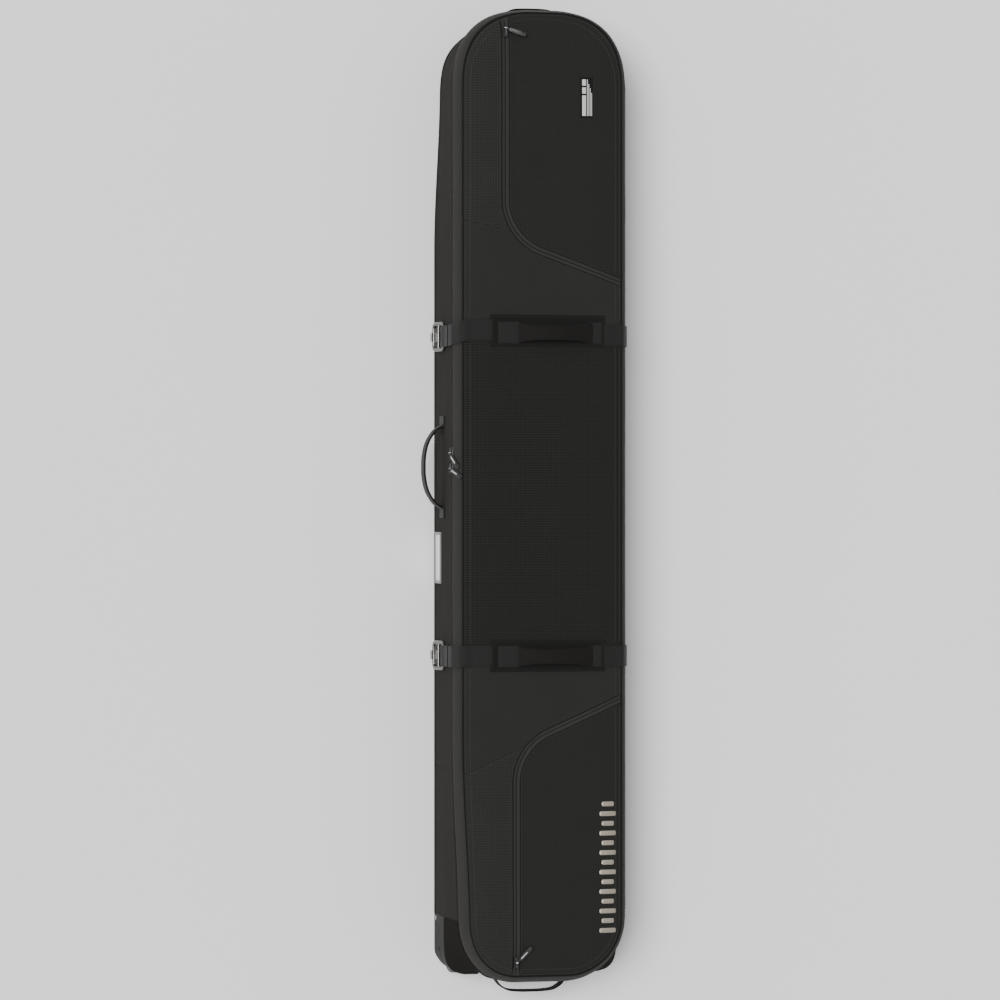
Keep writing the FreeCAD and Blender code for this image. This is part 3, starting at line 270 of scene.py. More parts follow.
STEEL = metal("steel_look", (0.5, 0.5, 0.51), 0.35)
FILM = clear_film("clear_window_look")
BAR_FILM = metal("bar_film", (0.52, 0.47, 0.39), 0.45)
LABEL = plain_cloth("label_cloth", (0.008, 0.008, 0.008), 0.15)
LABEL_PRINT = plain_cloth("label_print", (0.55, 0.55, 0.54), 0.1)


# ---------------------------------------------------------------- making pieces


def eased(value, low, high):
    """0 below low, 1 above high, smooth between them."""
    share = max(0.0, min(1.0, (value - low) / (high - low)))
    return share * share * (3 - 2 * share)


def between_levels(z, levels):
    """A value read off (height, value) levels, straight between them."""
    for (low, before), (high, after) in zip(levels, levels[1:]):
        if z <= high:
            return before + (after - before) * max(0.0, (z - low) / (high - low))
    return levels[-1][1]


CORNER_SETTLE = [(0, -8), (110, 0), (165, 7), (197, 13)]
HEAD_TAPER = [(0, 11), (110, 4), (160, 0)]
FOOT_TAPER = [(104, 0), (165, 11), (197, 17)]


def settled(point):
    """Where sewn cloth really stands.  The stuffed lid fills its head corners squarer than the shell's
    outline, the base draws in below them, and the lid leans in towards the wheels on the zipper side."""
    x, y, z = point
    across, beyond = abs(x) - HEAD_FLAT, y - HEAD_STRAIGHT
    if across > 0 and beyond > 0:
        reach = math.hypot(across, beyond)
        turn = 2 * across * beyond / reach ** 2
        out = between_levels(z, CORNER_SETTLE) * turn ** 2 * min(reach / HEAD_ROUND, 1.05) ** 8 / reach
        x, y = x + math.copysign(across * out, x), y + beyond * out
    side = min(abs(x) / HALF_WIDE, 1.0) ** 3
    x -= math.copysign(between_levels(z, HEAD_TAPER) * side * eased(y, 450, 760), x)
    if x < 0:
        x += between_levels(z, FOOT_TAPER) * side * eased(-y, 430, 800)
    y += 5 * eased(y, 640, 860) * eased(z, 175, 197)
    return Vector((x, y, z))


class Shape:
    """Points in millimetres, faces and weave coordinates, gathered before they become one piece."""

    def __init__(self):
        self.points, self.faces, self.weave = [], [], []

    def add(self, points, faces, weave=None):
        """Adds a closed part."""
        first = len(self.points)
        self.points += [tuple(point) for point in points]
        self.faces += [[first + n for n in face] for face in faces]
        self.weave += [tuple(place) for place in (weave or points)]
        return self

    def piece(self, name, look, body, slot, replaces=(), between=None):
        """Makes the object.  between is (body_a, body_b, start, end) for cloth that crosses a joint; such a
        piece is left in place with no body, and the bodies and places in it are not used.
        """
        mesh = bpy.data.meshes.new(name)
        mesh.from_pydata([settled(point) * MM for point in self.points], [], self.faces)
        place = mesh.attributes.new("weave", "FLOAT_VECTOR", "POINT")
        place.data.foreach_set("vector", [value * MM for place in self.weave for value in place])
        edit = bmesh.new()
        edit.from_mesh(mesh)
        bmesh.ops.recalc_face_normals(edit, faces=edit.faces)
        edit.to_mesh(mesh)
        edit.free()
        mesh.shade_smooth()
        mesh.set_sharp_from_angle(angle=SHARP)
        mesh.materials.append(look)
        made = bpy.data.objects.new(name, mesh)
        bpy.context.scene.collection.objects.link(made)
        if between:
            first, second, start, end = between
            Vector(start) * MM
            Vector(end) * MM
            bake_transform(made)
        else:
            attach(made, body)
        if replaces:
            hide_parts(*replaces)
        return made


def tube_faces(rows, around, closed):
    """Faces of a tube of rows of points, with flat ends unless it is closed on itself."""
    faces = []
    for row in range(rows if closed else rows - 1):
        after = (row + 1) % rows
        for n in range(around):
            m = (n + 1) % around
            faces.append([row * around + n, row * around + m, after * around + m, after * around + n])
    if not closed:
        faces.append(list(range(around))[::-1])
        faces.append([(rows - 1) * around + n for n in range(around)])
    return faces


def sweep(shape, path, section, across, closed=False):
    """Carries a closed section along a path.  section(t) gives points (across, up); across is the
    direction that the section's first coordinate keeps to, and up points to the left of the path."""
    path = [Vector(point) for point in path]
    count = len(path)
    long = [0.0]
    for before, after in zip(path, path[1:]):
        long.append(long[-1] + (after - before).length)
    points, weave = [], []
    for n, point in enumerate(path):
        before, after = path[(n - 1) % count], path[(n + 1) % count]
        if not closed:
            before, after = path[max(n - 1, 0)], path[min(n + 1, count - 1)]
        tangent = (after - before).normalized()
        wide = Vector(across(n / (count - 1)) if callable(across) else across)
        wide = (wide - tangent * wide.dot(tangent)).normalized()
        up = wide.cross(tangent)
        for a, b in section(n / max(count - 1, 1)):
            points.append(point + wide * a + up * b)
            weave.append((long[n], a, b))
    around = len(section(0))
    shape.add(points, tube_faces(count, around, closed), weave)
    return shape


def smooth_path(points, step=3.0):
    """A smooth line through points, with its own points about a step apart."""
    points = [Vector(point) for point in points]
    ends = [points[0] * 2 - points[1]] + points + [points[-1] * 2 - points[-2]]
    line = []
    for n in range(1, len(ends) - 2):
        a, b, c, d = ends[n - 1:n + 3]
        parts = max(2, round((c - b).length / step))
        for k in range(parts):
            t = k / parts
            line.append(0.5 * ((2 * b) + (c - a) * t + (2 * a - 5 * b + 4 * c - d) * t * t
                               + (3 * b - a - 3 * c + d) * t ** 3))
    return line + [points[-1]]


def flat_section(wide, thick, edge=0.6):
    """The section of a flat strap with soft edges."""
    half, up = wide / 2, thick / 2
    inner = half - edge
    points = [(-half, 0), (-half + edge * 0.3, -up * 0.7), (-inner, -up)]
    points += [(-inner + 2 * inner * n / 4, -up) for n in range(1, 4)]
    points += [(inner, -up), (half - edge * 0.3, -up * 0.7), (half, 0)]
    return points + [(-a, -b) for a, b in points[1:-1]]


def round_section(radius, sides=12):
    """A circle."""
    return [(radius * math.cos(2 * math.pi * n / sides), radius * math.sin(2 * math.pi * n / sides))
            for n in range(sides)]


def resample(path, pitch):
    """Places along a path, a pitch apart, each with the path's direction there."""
    places, gone, due = [], 0.0, pitch / 2
    for before, after in zip(path, path[1:]):
        before, after = Vector(before), Vector(after)
        span = (after - before).length
        while span > 0 and due <= gone + span:
            places.append((before + (after - before) * ((due - gone) / span), (after - before) / span))
            due += pitch
        gone += span
    return places


def stitches(shape, path, up, pitch=4.4, long=3.0, thick=0.95):
    """A row of small raised stitches along a path that lies on a surface facing up."""
    up = Vector(up).normalized()
    for place, along in resample(path, pitch):
        side = up.cross(along).normalized() * thick / 2
        tip = along * long / 2
        lift = up * thick * 0.5
        shoulder = along * long * 0.3
        points = [place - tip, place + tip]
        for way in (-1, 1):
            points += [place + shoulder * way + side, place + shoulder * way + lift,
                       place + shoulder * way - side, place + shoulder * way - lift]
        faces = []
        for n in range(4):
            m = (n + 1) % 4
            faces += [[0, 2 + m, 2 + n], [2 + n, 2 + m, 6 + m, 6 + n], [1, 6 + n, 6 + m]]
        shape.add(points, faces)
    return shape


def tab(shape, centre, along, up, outline, thick, bevel=0.5):
    """A flat plate with bevelled edges; outline is a convex loop of (along, across) points."""
    along, up = Vector(along).normalized(), Vector(up).normalized()
    across = up.cross(along)
    middle = Vector((sum(a for a, _ in outline), sum(b for _, b in outline))) / len(outline)
    levels = [(-thick / 2, bevel), (-thick / 2 + bevel, 0), (thick / 2 - bevel, 0), (thick / 2, bevel)]
    points = []
    for height, inset in levels:
        for a, b in outline:
            reach = Vector((a, b)) - middle
            moved = middle + reach * (1 - inset / max(reach.length, 0.1))
            points.append(Vector(centre) + along * moved.x + across * moved.y + up * height)
    shape.add(points, tube_faces(len(levels), len(outline), False))
    return shape


def rounded_box(low, high, radius, corner=5):
    """A loop round a rectangle with rounded corners, in its own two coordinates."""
    (x0, y0), (x1, y1) = low, high
    loop = []
    for cx, cy, start in ((x1, y1, 0), (x0, y1, 1), (x0, y0, 2), (x1, y0, 3)):
        centre = (cx - math.copysign(radius, cx - (x0 + x1) / 2),
                  cy - math.copysign(radius, cy - (y0 + y1) / 2))
        for n in range(corner + 1):
            angle = (start + n / corner) * math.pi / 2
            loop.append((centre[0] + radius * math.cos(angle), centre[1] + radius * math.sin(angle)))
    return loop


def dense(loop, step=4.0):
    """A loop with points added so that none of its sides is longer than step."""
    made = []
    for first, second in zip(loop, loop[1:] + loop[:1]):
        count = max(1, math.ceil(math.dist(first, second) / step))
        made += [Vector(first).lerp(Vector(second), n / count) for n in range(count)]
    return made


# ---------------------------------------------------------------- the shell's outline

BACK_LOW, BACK_HIGH = corners("back_panel")
HALF_WIDE, HEAD_END, FOOT_END = BACK_HIGH.x, BACK_HIGH.y, BACK_LOW.y
HEAD_ROUND, FOOT_ROUND = 140, 115
HEAD_STRAIGHT, FOOT_STRAIGHT = HEAD_END - HEAD_ROUND, FOOT_END + FOOT_ROUND
HEAD_FLAT, FOOT_FLAT = HALF_WIDE - HEAD_ROUND, HALF_WIDE - FOOT_ROUND
WALL_TOP, SHOULDER_BASE = 160, 170
HOUSING_WIDE = 62
SEAM_INSET, SEAM_Z, FACE_Z = 14, 197, 207
QUARTER = math.pi / 2
UP = Vector((0, 0, 1))

RIM = [
    (HEAD_STRAIGHT, Vector((HALF_WIDE, 0)), Vector((0, 1)), 0),
    (HEAD_ROUND * QUARTER, Vector((HEAD_FLAT, HEAD_STRAIGHT)), 0, HEAD_ROUND),
    (2 * HEAD_FLAT, Vector((HEAD_FLAT, HEAD_END)), Vector((-1, 0)), 0),
    (HEAD_ROUND * QUARTER, Vector((-HEAD_FLAT, HEAD_STRAIGHT)), 1, HEAD_ROUND),
    (HEAD_STRAIGHT - FOOT_STRAIGHT, Vector((-HALF_WIDE, HEAD_STRAIGHT)), Vector((0, -1)), 0),
    (FOOT_ROUND * QUARTER, Vector((-FOOT_FLAT, FOOT_STRAIGHT)), 2, FOOT_ROUND),
    (2 * FOOT_FLAT, Vector((-FOOT_FLAT, FOOT_END)), Vector((1, 0)), 0),
    (FOOT_ROUND * QUARTER, Vector((FOOT_FLAT, FOOT_STRAIGHT)), 3, FOOT_ROUND),
    (-FOOT_STRAIGHT, Vector((HALF_WIDE, FOOT_STRAIGHT)), Vector((0, 1)), 0),
]
RIM_LONG = sum(part[0] for part in RIM)
ZIP_START = sum(part[0] for part in RIM[:4])
FOOT_START = sum(part[0] for part in RIM[:5])


def rim_at(s):
    """A place on the outline, anticlockwise from the middle of the hinge side: point, outward
    direction and distance along it."""
    left = s % RIM_LONG
    for length, start, way, radius in RIM:
        if left <= length:
            if radius:
                angle = way * QUARTER + left / radius
                out = Vector((math.cos(angle), math.sin(angle)))
                return start + out * radius, out, s
            return start + way * left, Vector((way.y, -way.x)), s
        left -= length
    return RIM[0][1], Vector((1, 0)), s


def on_zip_side(y):
    """How far along the outline a place on the zipper side is."""
    return ZIP_START + HEAD_STRAIGHT - y


def on_foot_corner(x):
    """How far along the outline a place on the wheel end's corners is."""
    turn = math.acos((abs(x) - FOOT_FLAT) / FOOT_ROUND)
    if x < 0:
        return FOOT_START + FOOT_ROUND * turn
    return FOOT_START + FOOT_ROUND * (math.pi - turn) + 2 * FOOT_FLAT


def rim_between(start, end, step=8.0):
    """Places on the outline between two distances, closer together near both ends."""
    near = (0, 1.2, 3.0, 5.5)
    inner = max(2, round((end - start - 2 * near[-1]) / step))
    along = [start + d for d in near]
    along += [start + near[-1] + (end - start - 2 * near[-1]) * n / inner for n in range(1, inner)]
    along += [end - d for d in reversed(near)]
    return [rim_at(s) for s in along]


def rim_all(step=8.0):
    """Places all round the outline."""
    count = round(RIM_LONG / step)
    return [rim_at(RIM_LONG * n / count) for n in range(count)]


def inward(place, inset, z):
    """The point at an inset from a place on the outline, at a height."""
    point, out, _ = place
    return Vector((point.x - out.x * inset, point.y - out.y * inset, z))


def loft(shape, places, profile, closed=False, bend=None):
    """Carries a closed profile of (inset, z) round the outline.  bend(s, inset, z) moves a point in."""
    points, weave = [], []
    for place in places:
        for inset, z in profile:
            moved = inset + (bend(place[2], inset, z) if bend else 0)
            points.append(inward(place, moved, z))
            weave.append((place[2], z + inset, 0))
    shape.add(points, tube_faces(len(places), len(profile), closed), weave)
    return shape


def skin(outer, thick):
    """A closed profile from its outer side, listed upwards, and a thickness."""
    return outer + [(inset + thick, z) for inset, z in reversed(outer)]


def cloud(a, b, c=0.0):
    """Smooth noise between about -1 and 1."""
    return noise.noise(Vector((a, b, c)))


# ---------------------------------------------------------------- the lid's surface

SEAM_OUT_X = HALF_WIDE - SEAM_INSET
SEAM_OUT_HEAD, SEAM_OUT_FOOT = HEAD_END - SEAM_INSET, FOOT_END + SEAM_INSET
CROWN_LOW, CROWN_RISE = 198.3, 9.3
BAND = 6.5
POCKET_ROUND = 100
POCKETS = {
    "head": {"x": -70, "way": 1, "corner": 465, "end": (128, 393)},
    "foot": {"x": -50, "way": -1, "corner": -453, "end": (128, -374)},
}
STRAPS = {"head": 290, "foot": -290}
SLEEVES = {"head": 298, "foot": -288}
SLEEVE_HALF = 29
SEAMS = {
    "head": (Vector((-143, 496)), Vector((-67, 478))),
    "foot": (Vector((-128, -494)), Vector((-50, -458))),
}
CREASES = [
    ((30, 352), (128, 346), 1.3, 5), ((-20, 344), (70, 339), 0.9, 5), ((60, 366), (132, 352), 0.8, 7),
    ((-120, 262), (-60, 268), 0.7, 9), ((60, 262), (120, 254), 0.7, 8), ((-70, -334), (20, -330), 0.8, 6),
    ((-128, -250), (-70, -243), 0.6, 9), ((-110, 560), (-84, 640), 0.7, 12), ((20, 800), (80, 760), 0.8, 16),
    ((-110, -800), (-80, -740), 0.8, 13), ((0, -820), (70, -800), 0.7, 14),
]


def seam_distance(x, y):
    """How far inside the seam round the lid's face a place is."""
    if y > HEAD_STRAIGHT and abs(x) > HEAD_FLAT:
        return HEAD_ROUND - SEAM_INSET - math.hypot(abs(x) - HEAD_FLAT, y - HEAD_STRAIGHT)
    if y < FOOT_STRAIGHT and abs(x) > FOOT_FLAT:
        return FOOT_ROUND - SEAM_INSET - math.hypot(abs(x) - FOOT_FLAT, y - FOOT_STRAIGHT)
    return min(SEAM_OUT_X - abs(x), SEAM_OUT_HEAD - y, y - SEAM_OUT_FOOT)


@functools.cache
def pocket_lines(pocket):
    """The two straight runs of a pocket's zipper: the slanting run's direction and its side normal,
    and the middle of the bend between them."""
    spec = POCKETS[pocket]
    corner = Vector((spec["x"], spec["corner"]))
    along = (Vector(spec["end"]) - corner).normalized()
    normal = Vector((-along.y, along.x)) * spec["way"]
    bend = Vector((spec["x"] + POCKET_ROUND, 0))
    bend.y = corner.y + (POCKET_ROUND - normal.x * (bend.x - corner.x)) / normal.y
    return corner, along, normal, bend


def pocket_side(pocket, x, y):
    """The distance from a pocket's zipper, positive inside the pocket."""
    spec = POCKETS[pocket]
    corner, along, normal, bend = pocket_lines(pocket)
    place = Vector((x, y))
    upright = (y - bend.y) * spec["way"] > 0
    slanting = (place - bend).dot(along) > 0
    first, second = x - spec["x"], (place - corner).dot(normal)
    if upright and slanting:
        return min(first, second)
    if upright:
        return first
    if slanting:
        return second
    return POCKET_ROUND - (place - bend).length


def pocket_path(pocket, offset=0.0, step=6.0, start=872, end=156, straight_step=None):
    """Points along a pocket's zipper, moved sideways into the pocket by an offset."""
    spec = POCKETS[pocket]
    corner, along, normal, bend = pocket_lines(pocket)
    way, radius = spec["way"], POCKET_ROUND - offset
    straight_step = straight_step or step
    run = abs(start - way * bend.y)
    count = max(1, round(run / straight_step))
    points = [Vector((spec["x"] + offset, way * (start - run * n / count))) for n in range(count)]
    turn = math.atan2(abs(normal.y), abs(normal.x))
    parts = max(3, round(turn * POCKET_ROUND / step))
    for n in range(parts):
        angle = math.pi + way * turn * n / parts
        points.append(bend + Vector((math.cos(angle), math.sin(angle))) * radius)
    first = bend - normal * radius
    reach = (end - first.x) / along.x
    count = max(1, round(reach / straight_step))
    points += [first + along * reach * n / count for n in range(count + 1)]
    return points


def line_side(line, x, y):
    """Height above a straight line across the lid."""
    first, second = line
    return y - (first.y + (second.y - first.y) * (x - first.x) / (second.x - first.x))


def near_line(first, second, x, y):
    """The distance from a straight stretch."""
    first, second, place = Vector(first), Vector(second), Vector((x, y))
    share = max(0.0, min(1.0, (place - first).dot(second - first) / (second - first).length_squared))
    return (place - first - (second - first) * share).length


def hump(distance, wide):
    """1 at no distance, falling off smoothly."""
    return math.exp(-(distance / wide) ** 2)


def lid_z(x, y):
    """The height of the lid's cloth."""
    inside = max(seam_distance(x, y), 0)
    edge = 1 - min(inside / SEAM_OUT_X, 1)
    z = CROWN_LOW + CROWN_RISE * (1 - edge ** 6)
    fade = min(inside / 14, 1)
    z += fade * (0.8 * cloud(x / 90, y / 130) + 0.45 * cloud(x / 34, y / 45, 7.0))
    for pocket in POCKETS:
        side = pocket_side(pocket, x, y)
        if side > -60:
            z -= fade * (1.1 * hump(side, 20) - 0.9 * hump(abs(side) - 10, 2.6))
            z += fade * 1.2 * (1 - hump(max(side - 12, 0), 40))
    for y_strap in SLEEVES.values():
        z -= fade * 1.7 * hump(y - y_strap, 42)
    for tag, line in SEAMS.items():
        if pocket_side(tag, x, y) < 0:
            z -= 1.2 * hump(line_side(line, x, y), 2.0) - 0.4 * hump(abs(line_side(line, x, y)) - 5, 3)
    for first, second, deep, wide in CREASES:
        z -= fade * deep * hump(near_line(first, second, x, y), wide)
    return z


def net(fixed, loose, zone):
    """Triangles over lines of fixed edges and loose points, sorted by the zone of their middles."""
    coords, edges = [], []
    for line, closed in fixed:
        first = len(coords)
        coords += [Vector((point[0], point[1])) for point in line]
        edges += [(first + n, first + n + 1) for n in range(len(line) - 1)]
        if closed:
            edges.append((len(coords) - 1, first))
    coords += [Vector(point) for point in loose]
    found, _, faces, *_ = geometry.delaunay_2d_cdt(coords, edges, [], 0, 1e-3)
    zones = {}
    for face in faces:
        middle = sum((found[n] for n in face), Vector((0, 0))) / 3
        name = zone(middle.x, middle.y)
        if name:
            zones.setdefault(name, []).append(list(face))
    return found, zones


def cloth(shape, found, faces, top, bottom):
    """A closed sheet over triangles, between two height functions."""
    used = sorted({n for face in faces for n in face})
    index = {n: k for k, n in enumerate(used)}
    count = len(used)
    flat = [found[n] for n in used]
    points = [(p.x, p.y, top(p.x, p.y)) for p in flat] + [(p.x, p.y, bottom(p.x, p.y)) for p in flat]
    made = [[index[n] for n in face] for face in faces]
    made += [[index[n] + count for n in reversed(face)] for face in faces]
    ways = {(face[k], face[(k + 1) % 3]) for face in faces for k in range(3)}
    made += [[index[b], index[a], index[a] + count, index[b] + count] for a, b in ways if (b, a) not in ways]
    shape.add(points, made, [(x, y, 0) for x, y, _ in points])
    return shape


def loose_grid(x_range, y_range, step, allowed):
    """Staggered points over a rectangle, where allowed."""
    points = []
    for row in range(int((y_range[1] - y_range[0]) / step) + 1):
        y = y_range[0] + row * step
        shift = step / 2 if row % 2 else 0
        for column in range(int((x_range[1] - x_range[0]) / step) + 1):
            x = x_range[0] + shift + column * step
            if allowed(x, y):
                points.append((x, y))
    return points


def lid_patch(shape, low, high, base, thick, radius=2.0, step=7.0):
    """A sewn-on rectangle of cloth that follows the lid, base above it and thick at its middle."""
    narrow = min(high[0] - low[0], high[1] - low[1])
    fixed = [(dense(rounded_box(low, high, radius)), True)]
    for inset in (1.2, 3.0):
        if inset * 2 < narrow - 2:
            inner = rounded_box((low[0] + inset, low[1] + inset), (high[0] - inset, high[1] - inset), 0.8, 2)
            fixed.append((dense(inner), True))

    def edge(x, y):
        return min(x - low[0], high[0] - x, y - low[1], high[1] - y)

    loose = loose_grid((low[0], high[0]), (low[1], high[1]), step, lambda x, y: edge(x, y) > 5)
    found, zones = net(fixed, loose, lambda x, y: "all" if edge(x, y) > 0 else None)

    def top(x, y):
        return lid_z(x, y) + base + thick * (1 - math.exp(-max(edge(x, y), 0) / 1.2))

    return cloth(shape, found, zones["all"], top, lambda x, y: lid_z(x, y) + base - 0.3)


def lid_row(points, lift=0.15):
    """A line on the lid's cloth above points across the lid."""
    return [Vector((point[0], point[1], lid_z(point[0], point[1]) + lift)) for point in points]


def runs(points, keep):
    """The stretches of a line whose points are kept."""
    found, run = [], []
    for point in points:
        if keep(point[0], point[1]):
            run.append(point)
        elif run:
            found.append(run)
            run = []
    return [run for run in found + [run] if len(run) > 1]


# ---------------------------------------------------------------- lid cloth

LID_EDGE = 15.0
ROWS = (-13, -10.5, -8.5, -BAND, -0.7, 0, 0.7, BAND, 8.5, 10.5, 13)
CLOTH_THICK = 2.2
JOINTS = {joint["name"]: joint for joint in frame["record"]["behaviour"]["joints"]}
BORDER_ROWS = (17, 26)


def lid_zone(x, y):
    """Which panel of the lid a place belongs to."""
    if seam_distance(x, y) < LID_EDGE - SEAM_INSET:
        return None
    for pocket in POCKETS:
        side = pocket_side(pocket, x, y)
        if side > BAND:
            return f"pocket_{pocket}"
        if side > 0:
            return f"inner_tape_{pocket}"
        if side > -BAND:
            return f"outer_tape_{pocket}"
    if y > SLEEVES["head"]:
        return "strip_head" if line_side(SEAMS["head"], x, y) > 0 else "twill_head"
    if y < SLEEVES["foot"]:
        return "strip_foot" if line_side(SEAMS["foot"], x, y) < 0 else "twill_foot"
    return "middle"


def pocket_fold(pocket):
    joint = JOINTS[f"pocket_{pocket}_open"]
    place, axis = Vector(joint["pos_m"]) / MM, Vector(joint["axis"])
    away = Vector((-axis.y, axis.x, 0)) * 8
    return "lid", f"flap_{pocket}", place - away, place + away


def lid_lines():
    """The lid's fixed lines: loops inside its edge, rows along the zippers and along the seams."""
    lines = []
    for inset in (LID_EDGE, 18, 22, 28):
        lines.append(([inward(place, inset, 0) for place in rim_all(6)], True))
    for pocket in POCKETS:
        lines += [(pocket_path(pocket, offset), False) for offset in ROWS]
        first, second = SEAMS[pocket]
        slope = (second - first) / (second.x - first.x)
        for shift in (-2.2, 0, 2.2):
            end = POCKETS[pocket]["x"] - BAND + 0.5
            steps = [-152 + (end + 152) * n / 14 for n in range(15)]
            lines.append(([first + slope * (x - first.x) + Vector((0, shift)) for x in steps], False))
    for y in SLEEVES.values():
        lines.append(([(-152 + 8 * n, y) for n in range(39)], False))
    return lines


def open_lid(x, y):
    """Whether a loose point may stand here, away from the fixed lines."""
    if seam_distance(x, y) < 17.5 or min(abs(y - row) for row in SLEEVES.values()) < 3.5:
        return False
    for tag, line in SEAMS.items():
        side = pocket_side(tag, x, y)
        if abs(side) < 16 or (side < 0 and abs(line_side(line, x, y)) < 5):
            return False
    return True


def lid_cloth():
    """The lid's face: panels of two cloths, two pockets and the tapes of their zippers."""
    loose = loose_grid((-146, 146), (-866, 866), 6.0, open_lid)
    found, zones = net(lid_lines(), loose, lid_zone)
    looks = {"strip_head": STRIP_GRID, "strip_foot": STRIP_GRID, "middle": GRID, "twill_head": TWILL,
             "twill_foot": TWILL}

    def under(x, y):
        return lid_z(x, y) - CLOTH_THICK

    for name, look in looks.items():
        shape = cloth(Shape(), found, zones[name], lid_z, under)
        shape.piece(f"lid_{name}", look, "lid", "lid_fabric", ["lid_panel"] if name == "middle" else [])
    for pocket in POCKETS:
        shape = cloth(Shape(), found, zones[f"pocket_{pocket}"], lid_z, under)
        shape.piece(f"pocket_cover_{pocket}", POCKET_GRID, None, "pocket_fabric",
                    [f"pocket_panel_{pocket}", f"pocket_flap_{pocket}"], pocket_fold(pocket))

        def tape_top(x, y):
            return lid_z(x, y) - 1.0 - 0.9 * hump(pocket_side(pocket, x, y), 0.55)

        for half, between, node in (("inner", pocket_fold(pocket), [f"flap_zip_tape_{pocket}"]),
                                    ("outer", None, ["pocket_zip_tapes"])):
            shape = cloth(Shape(), found, zones[f"{half}_tape_{pocket}"], tape_top,
                          lambda x, y: lid_z(x, y) - 2.6)
            shape.piece(f"pocket_tape_{half}_{pocket}", TAPE, "lid", "zipper_tape", node, between)


def pocket_welts():
    """The folded edges of cloth on both sides of a pocket's zipper.  The folds are real, but their darkest
    piping cloth is partly painted shade, standing in for the shadow line along both sides of the tape.
    """
    for tag in POCKETS:
        for half, offset, between in (("inner", BAND + 0.5, pocket_fold(tag)), ("outer", -BAND - 0.5, None)):
            shape = Shape()
            for run in runs(pocket_path(tag, offset, 4.0), lambda x, y: seam_distance(x, y) > 2.5):
                sweep(shape, lid_row(run, 0.35),
                      lambda t: [(a, b * 0.8) for a, b in round_section(1.15, 8)], UP)
            # The very dark piping cloth on these welts is partly painted shadow beside the zipper tape.
            shape.piece(f"pocket_welt_{half}_{tag}", PIPING, "lid", "piping", between=between)


def pocket_coils():
    """The dark line of the hidden coil along the middle of each pocket's tape."""
    shape = Shape()
    for tag in POCKETS:
        for run in runs(pocket_path(tag, 0, 4.0), lambda x, y: seam_distance(x, y) > 4):
            sweep(shape, lid_row(run, -1.25), lambda t: round_section(0.75, 6), UP)
    shape.piece("pocket_coils", PIPING, "lid", "zipper_tape")


def lid_stitching():
    """Double topstitching round the lid, single rows beside the zippers and the seams."""
    clear = 9.5
    border = Shape()
    for inset in BORDER_ROWS:
        loop = [inward(place, inset, 0) for place in rim_all(4)]
        loop.append(loop[0])
        for run in runs(loop, lambda x, y: min(abs(pocket_side(tag, x, y)) for tag in POCKETS) > clear
                        and min(abs(y - row) for row in SLEEVES.values()) > 21):
            stitches(border, lid_row(run), (0, 0, 1))
    for tag, (first, second) in SEAMS.items():
        for shift in (-3.5, 3.5):
            run = [first.lerp(second, n / 12) + Vector((0, shift)) for n in range(-1, 12)]
            stitches(border, lid_row(run), (0, 0, 1))
        for offset in (-BAND - 2.2,):
            path = runs(pocket_path(tag, offset), lambda x, y: seam_distance(x, y) > 4)
            for run in path:
                stitches(border, lid_row(run), (0, 0, 1))
    border.piece("lid_stitches", THREAD, "lid", "piping")
    for tag in POCKETS:
        inner = Shape()
        for run in runs(pocket_path(tag, BAND + 2.2), lambda x, y: seam_distance(x, y) > 4):
            stitches(inner, lid_row(run), (0, 0, 1))
        inner.piece(f"pocket_stitches_{tag}", THREAD, None, "piping", between=pocket_fold(tag))


# ---------------------------------------------------------------- shoulder, walls and piping

SIDE_SEAMS = {"head": 548, "foot": -495}
PAD_CHANNEL = 110


def pinched(start, end, deep=0.9, rough=0.7):
    """Moves a panel in at both its ends, where it is seamed, and makes its surface uneven."""

    def bend(s, inset, z):
        edge = min(s - start, end - s)
        pressed = deep * hump(max(edge, 0), 2.2) + rough * cloud(s / 120, z / 45)
        return pressed + 0.35 * cloud(s / 33, z / 22, 3.0)

    return bend


def behind_window(s, z):
    """1 where the wall lies flat behind the name card's window, 0 away from it."""
    y = ZIP_START + HEAD_STRAIGHT - s
    low, high = corners("id_frame")
    aside = max(low.y - y, y - high.y, 0)
    above = max(low.z - z, z - high.z, 0)
    return (1 - eased(aside, 4, 30)) * (1 - eased(above, 2, 22))


def wall_bend(start, end, deep):
    """The evenness of a wall: seamed at its ends and flat behind the window."""
    uneven = pinched(start, end, deep)

    def bend(s, inset, z):
        flat = behind_window(s, z)
        return uneven(s, inset, z) * (1 - flat) + flat * (wall_bulge(z) + 0.1)

    return bend


def wall_bulge(z):
    """How far a wall rounds outwards."""
    return 1.3 * math.sin(math.pi * (z - 4) / (WALL_TOP - 4))


def shoulder_section():
    """The sloping side of the lid, from the zipper up to the lid's seam, rounded outwards."""
    outer = []
    rise = SEAM_Z - SHOULDER_BASE
    slope = math.hypot(rise, SEAM_INSET)
    for n in range(11):
        share = n / 10
        out = 2.0 * math.sin(math.pi * share) ** 0.7
        outer.append((SEAM_INSET * share - out * rise / slope,
                      SHOULDER_BASE + rise * share + out * SEAM_INSET / slope))
    return skin(outer, 3.2)


def wall_section(low, high):
    """The upright side of the bag, a little rounded outwards."""
    outer = []
    for n in range(13):
        share = n / 12
        z = low + (high - low) * share
        rolled = 0.7 * (hump(share, 0.03) + hump(1 - share, 0.03))
        outer.append((rolled - wall_bulge(z), z))
    return skin(outer, 3.4)


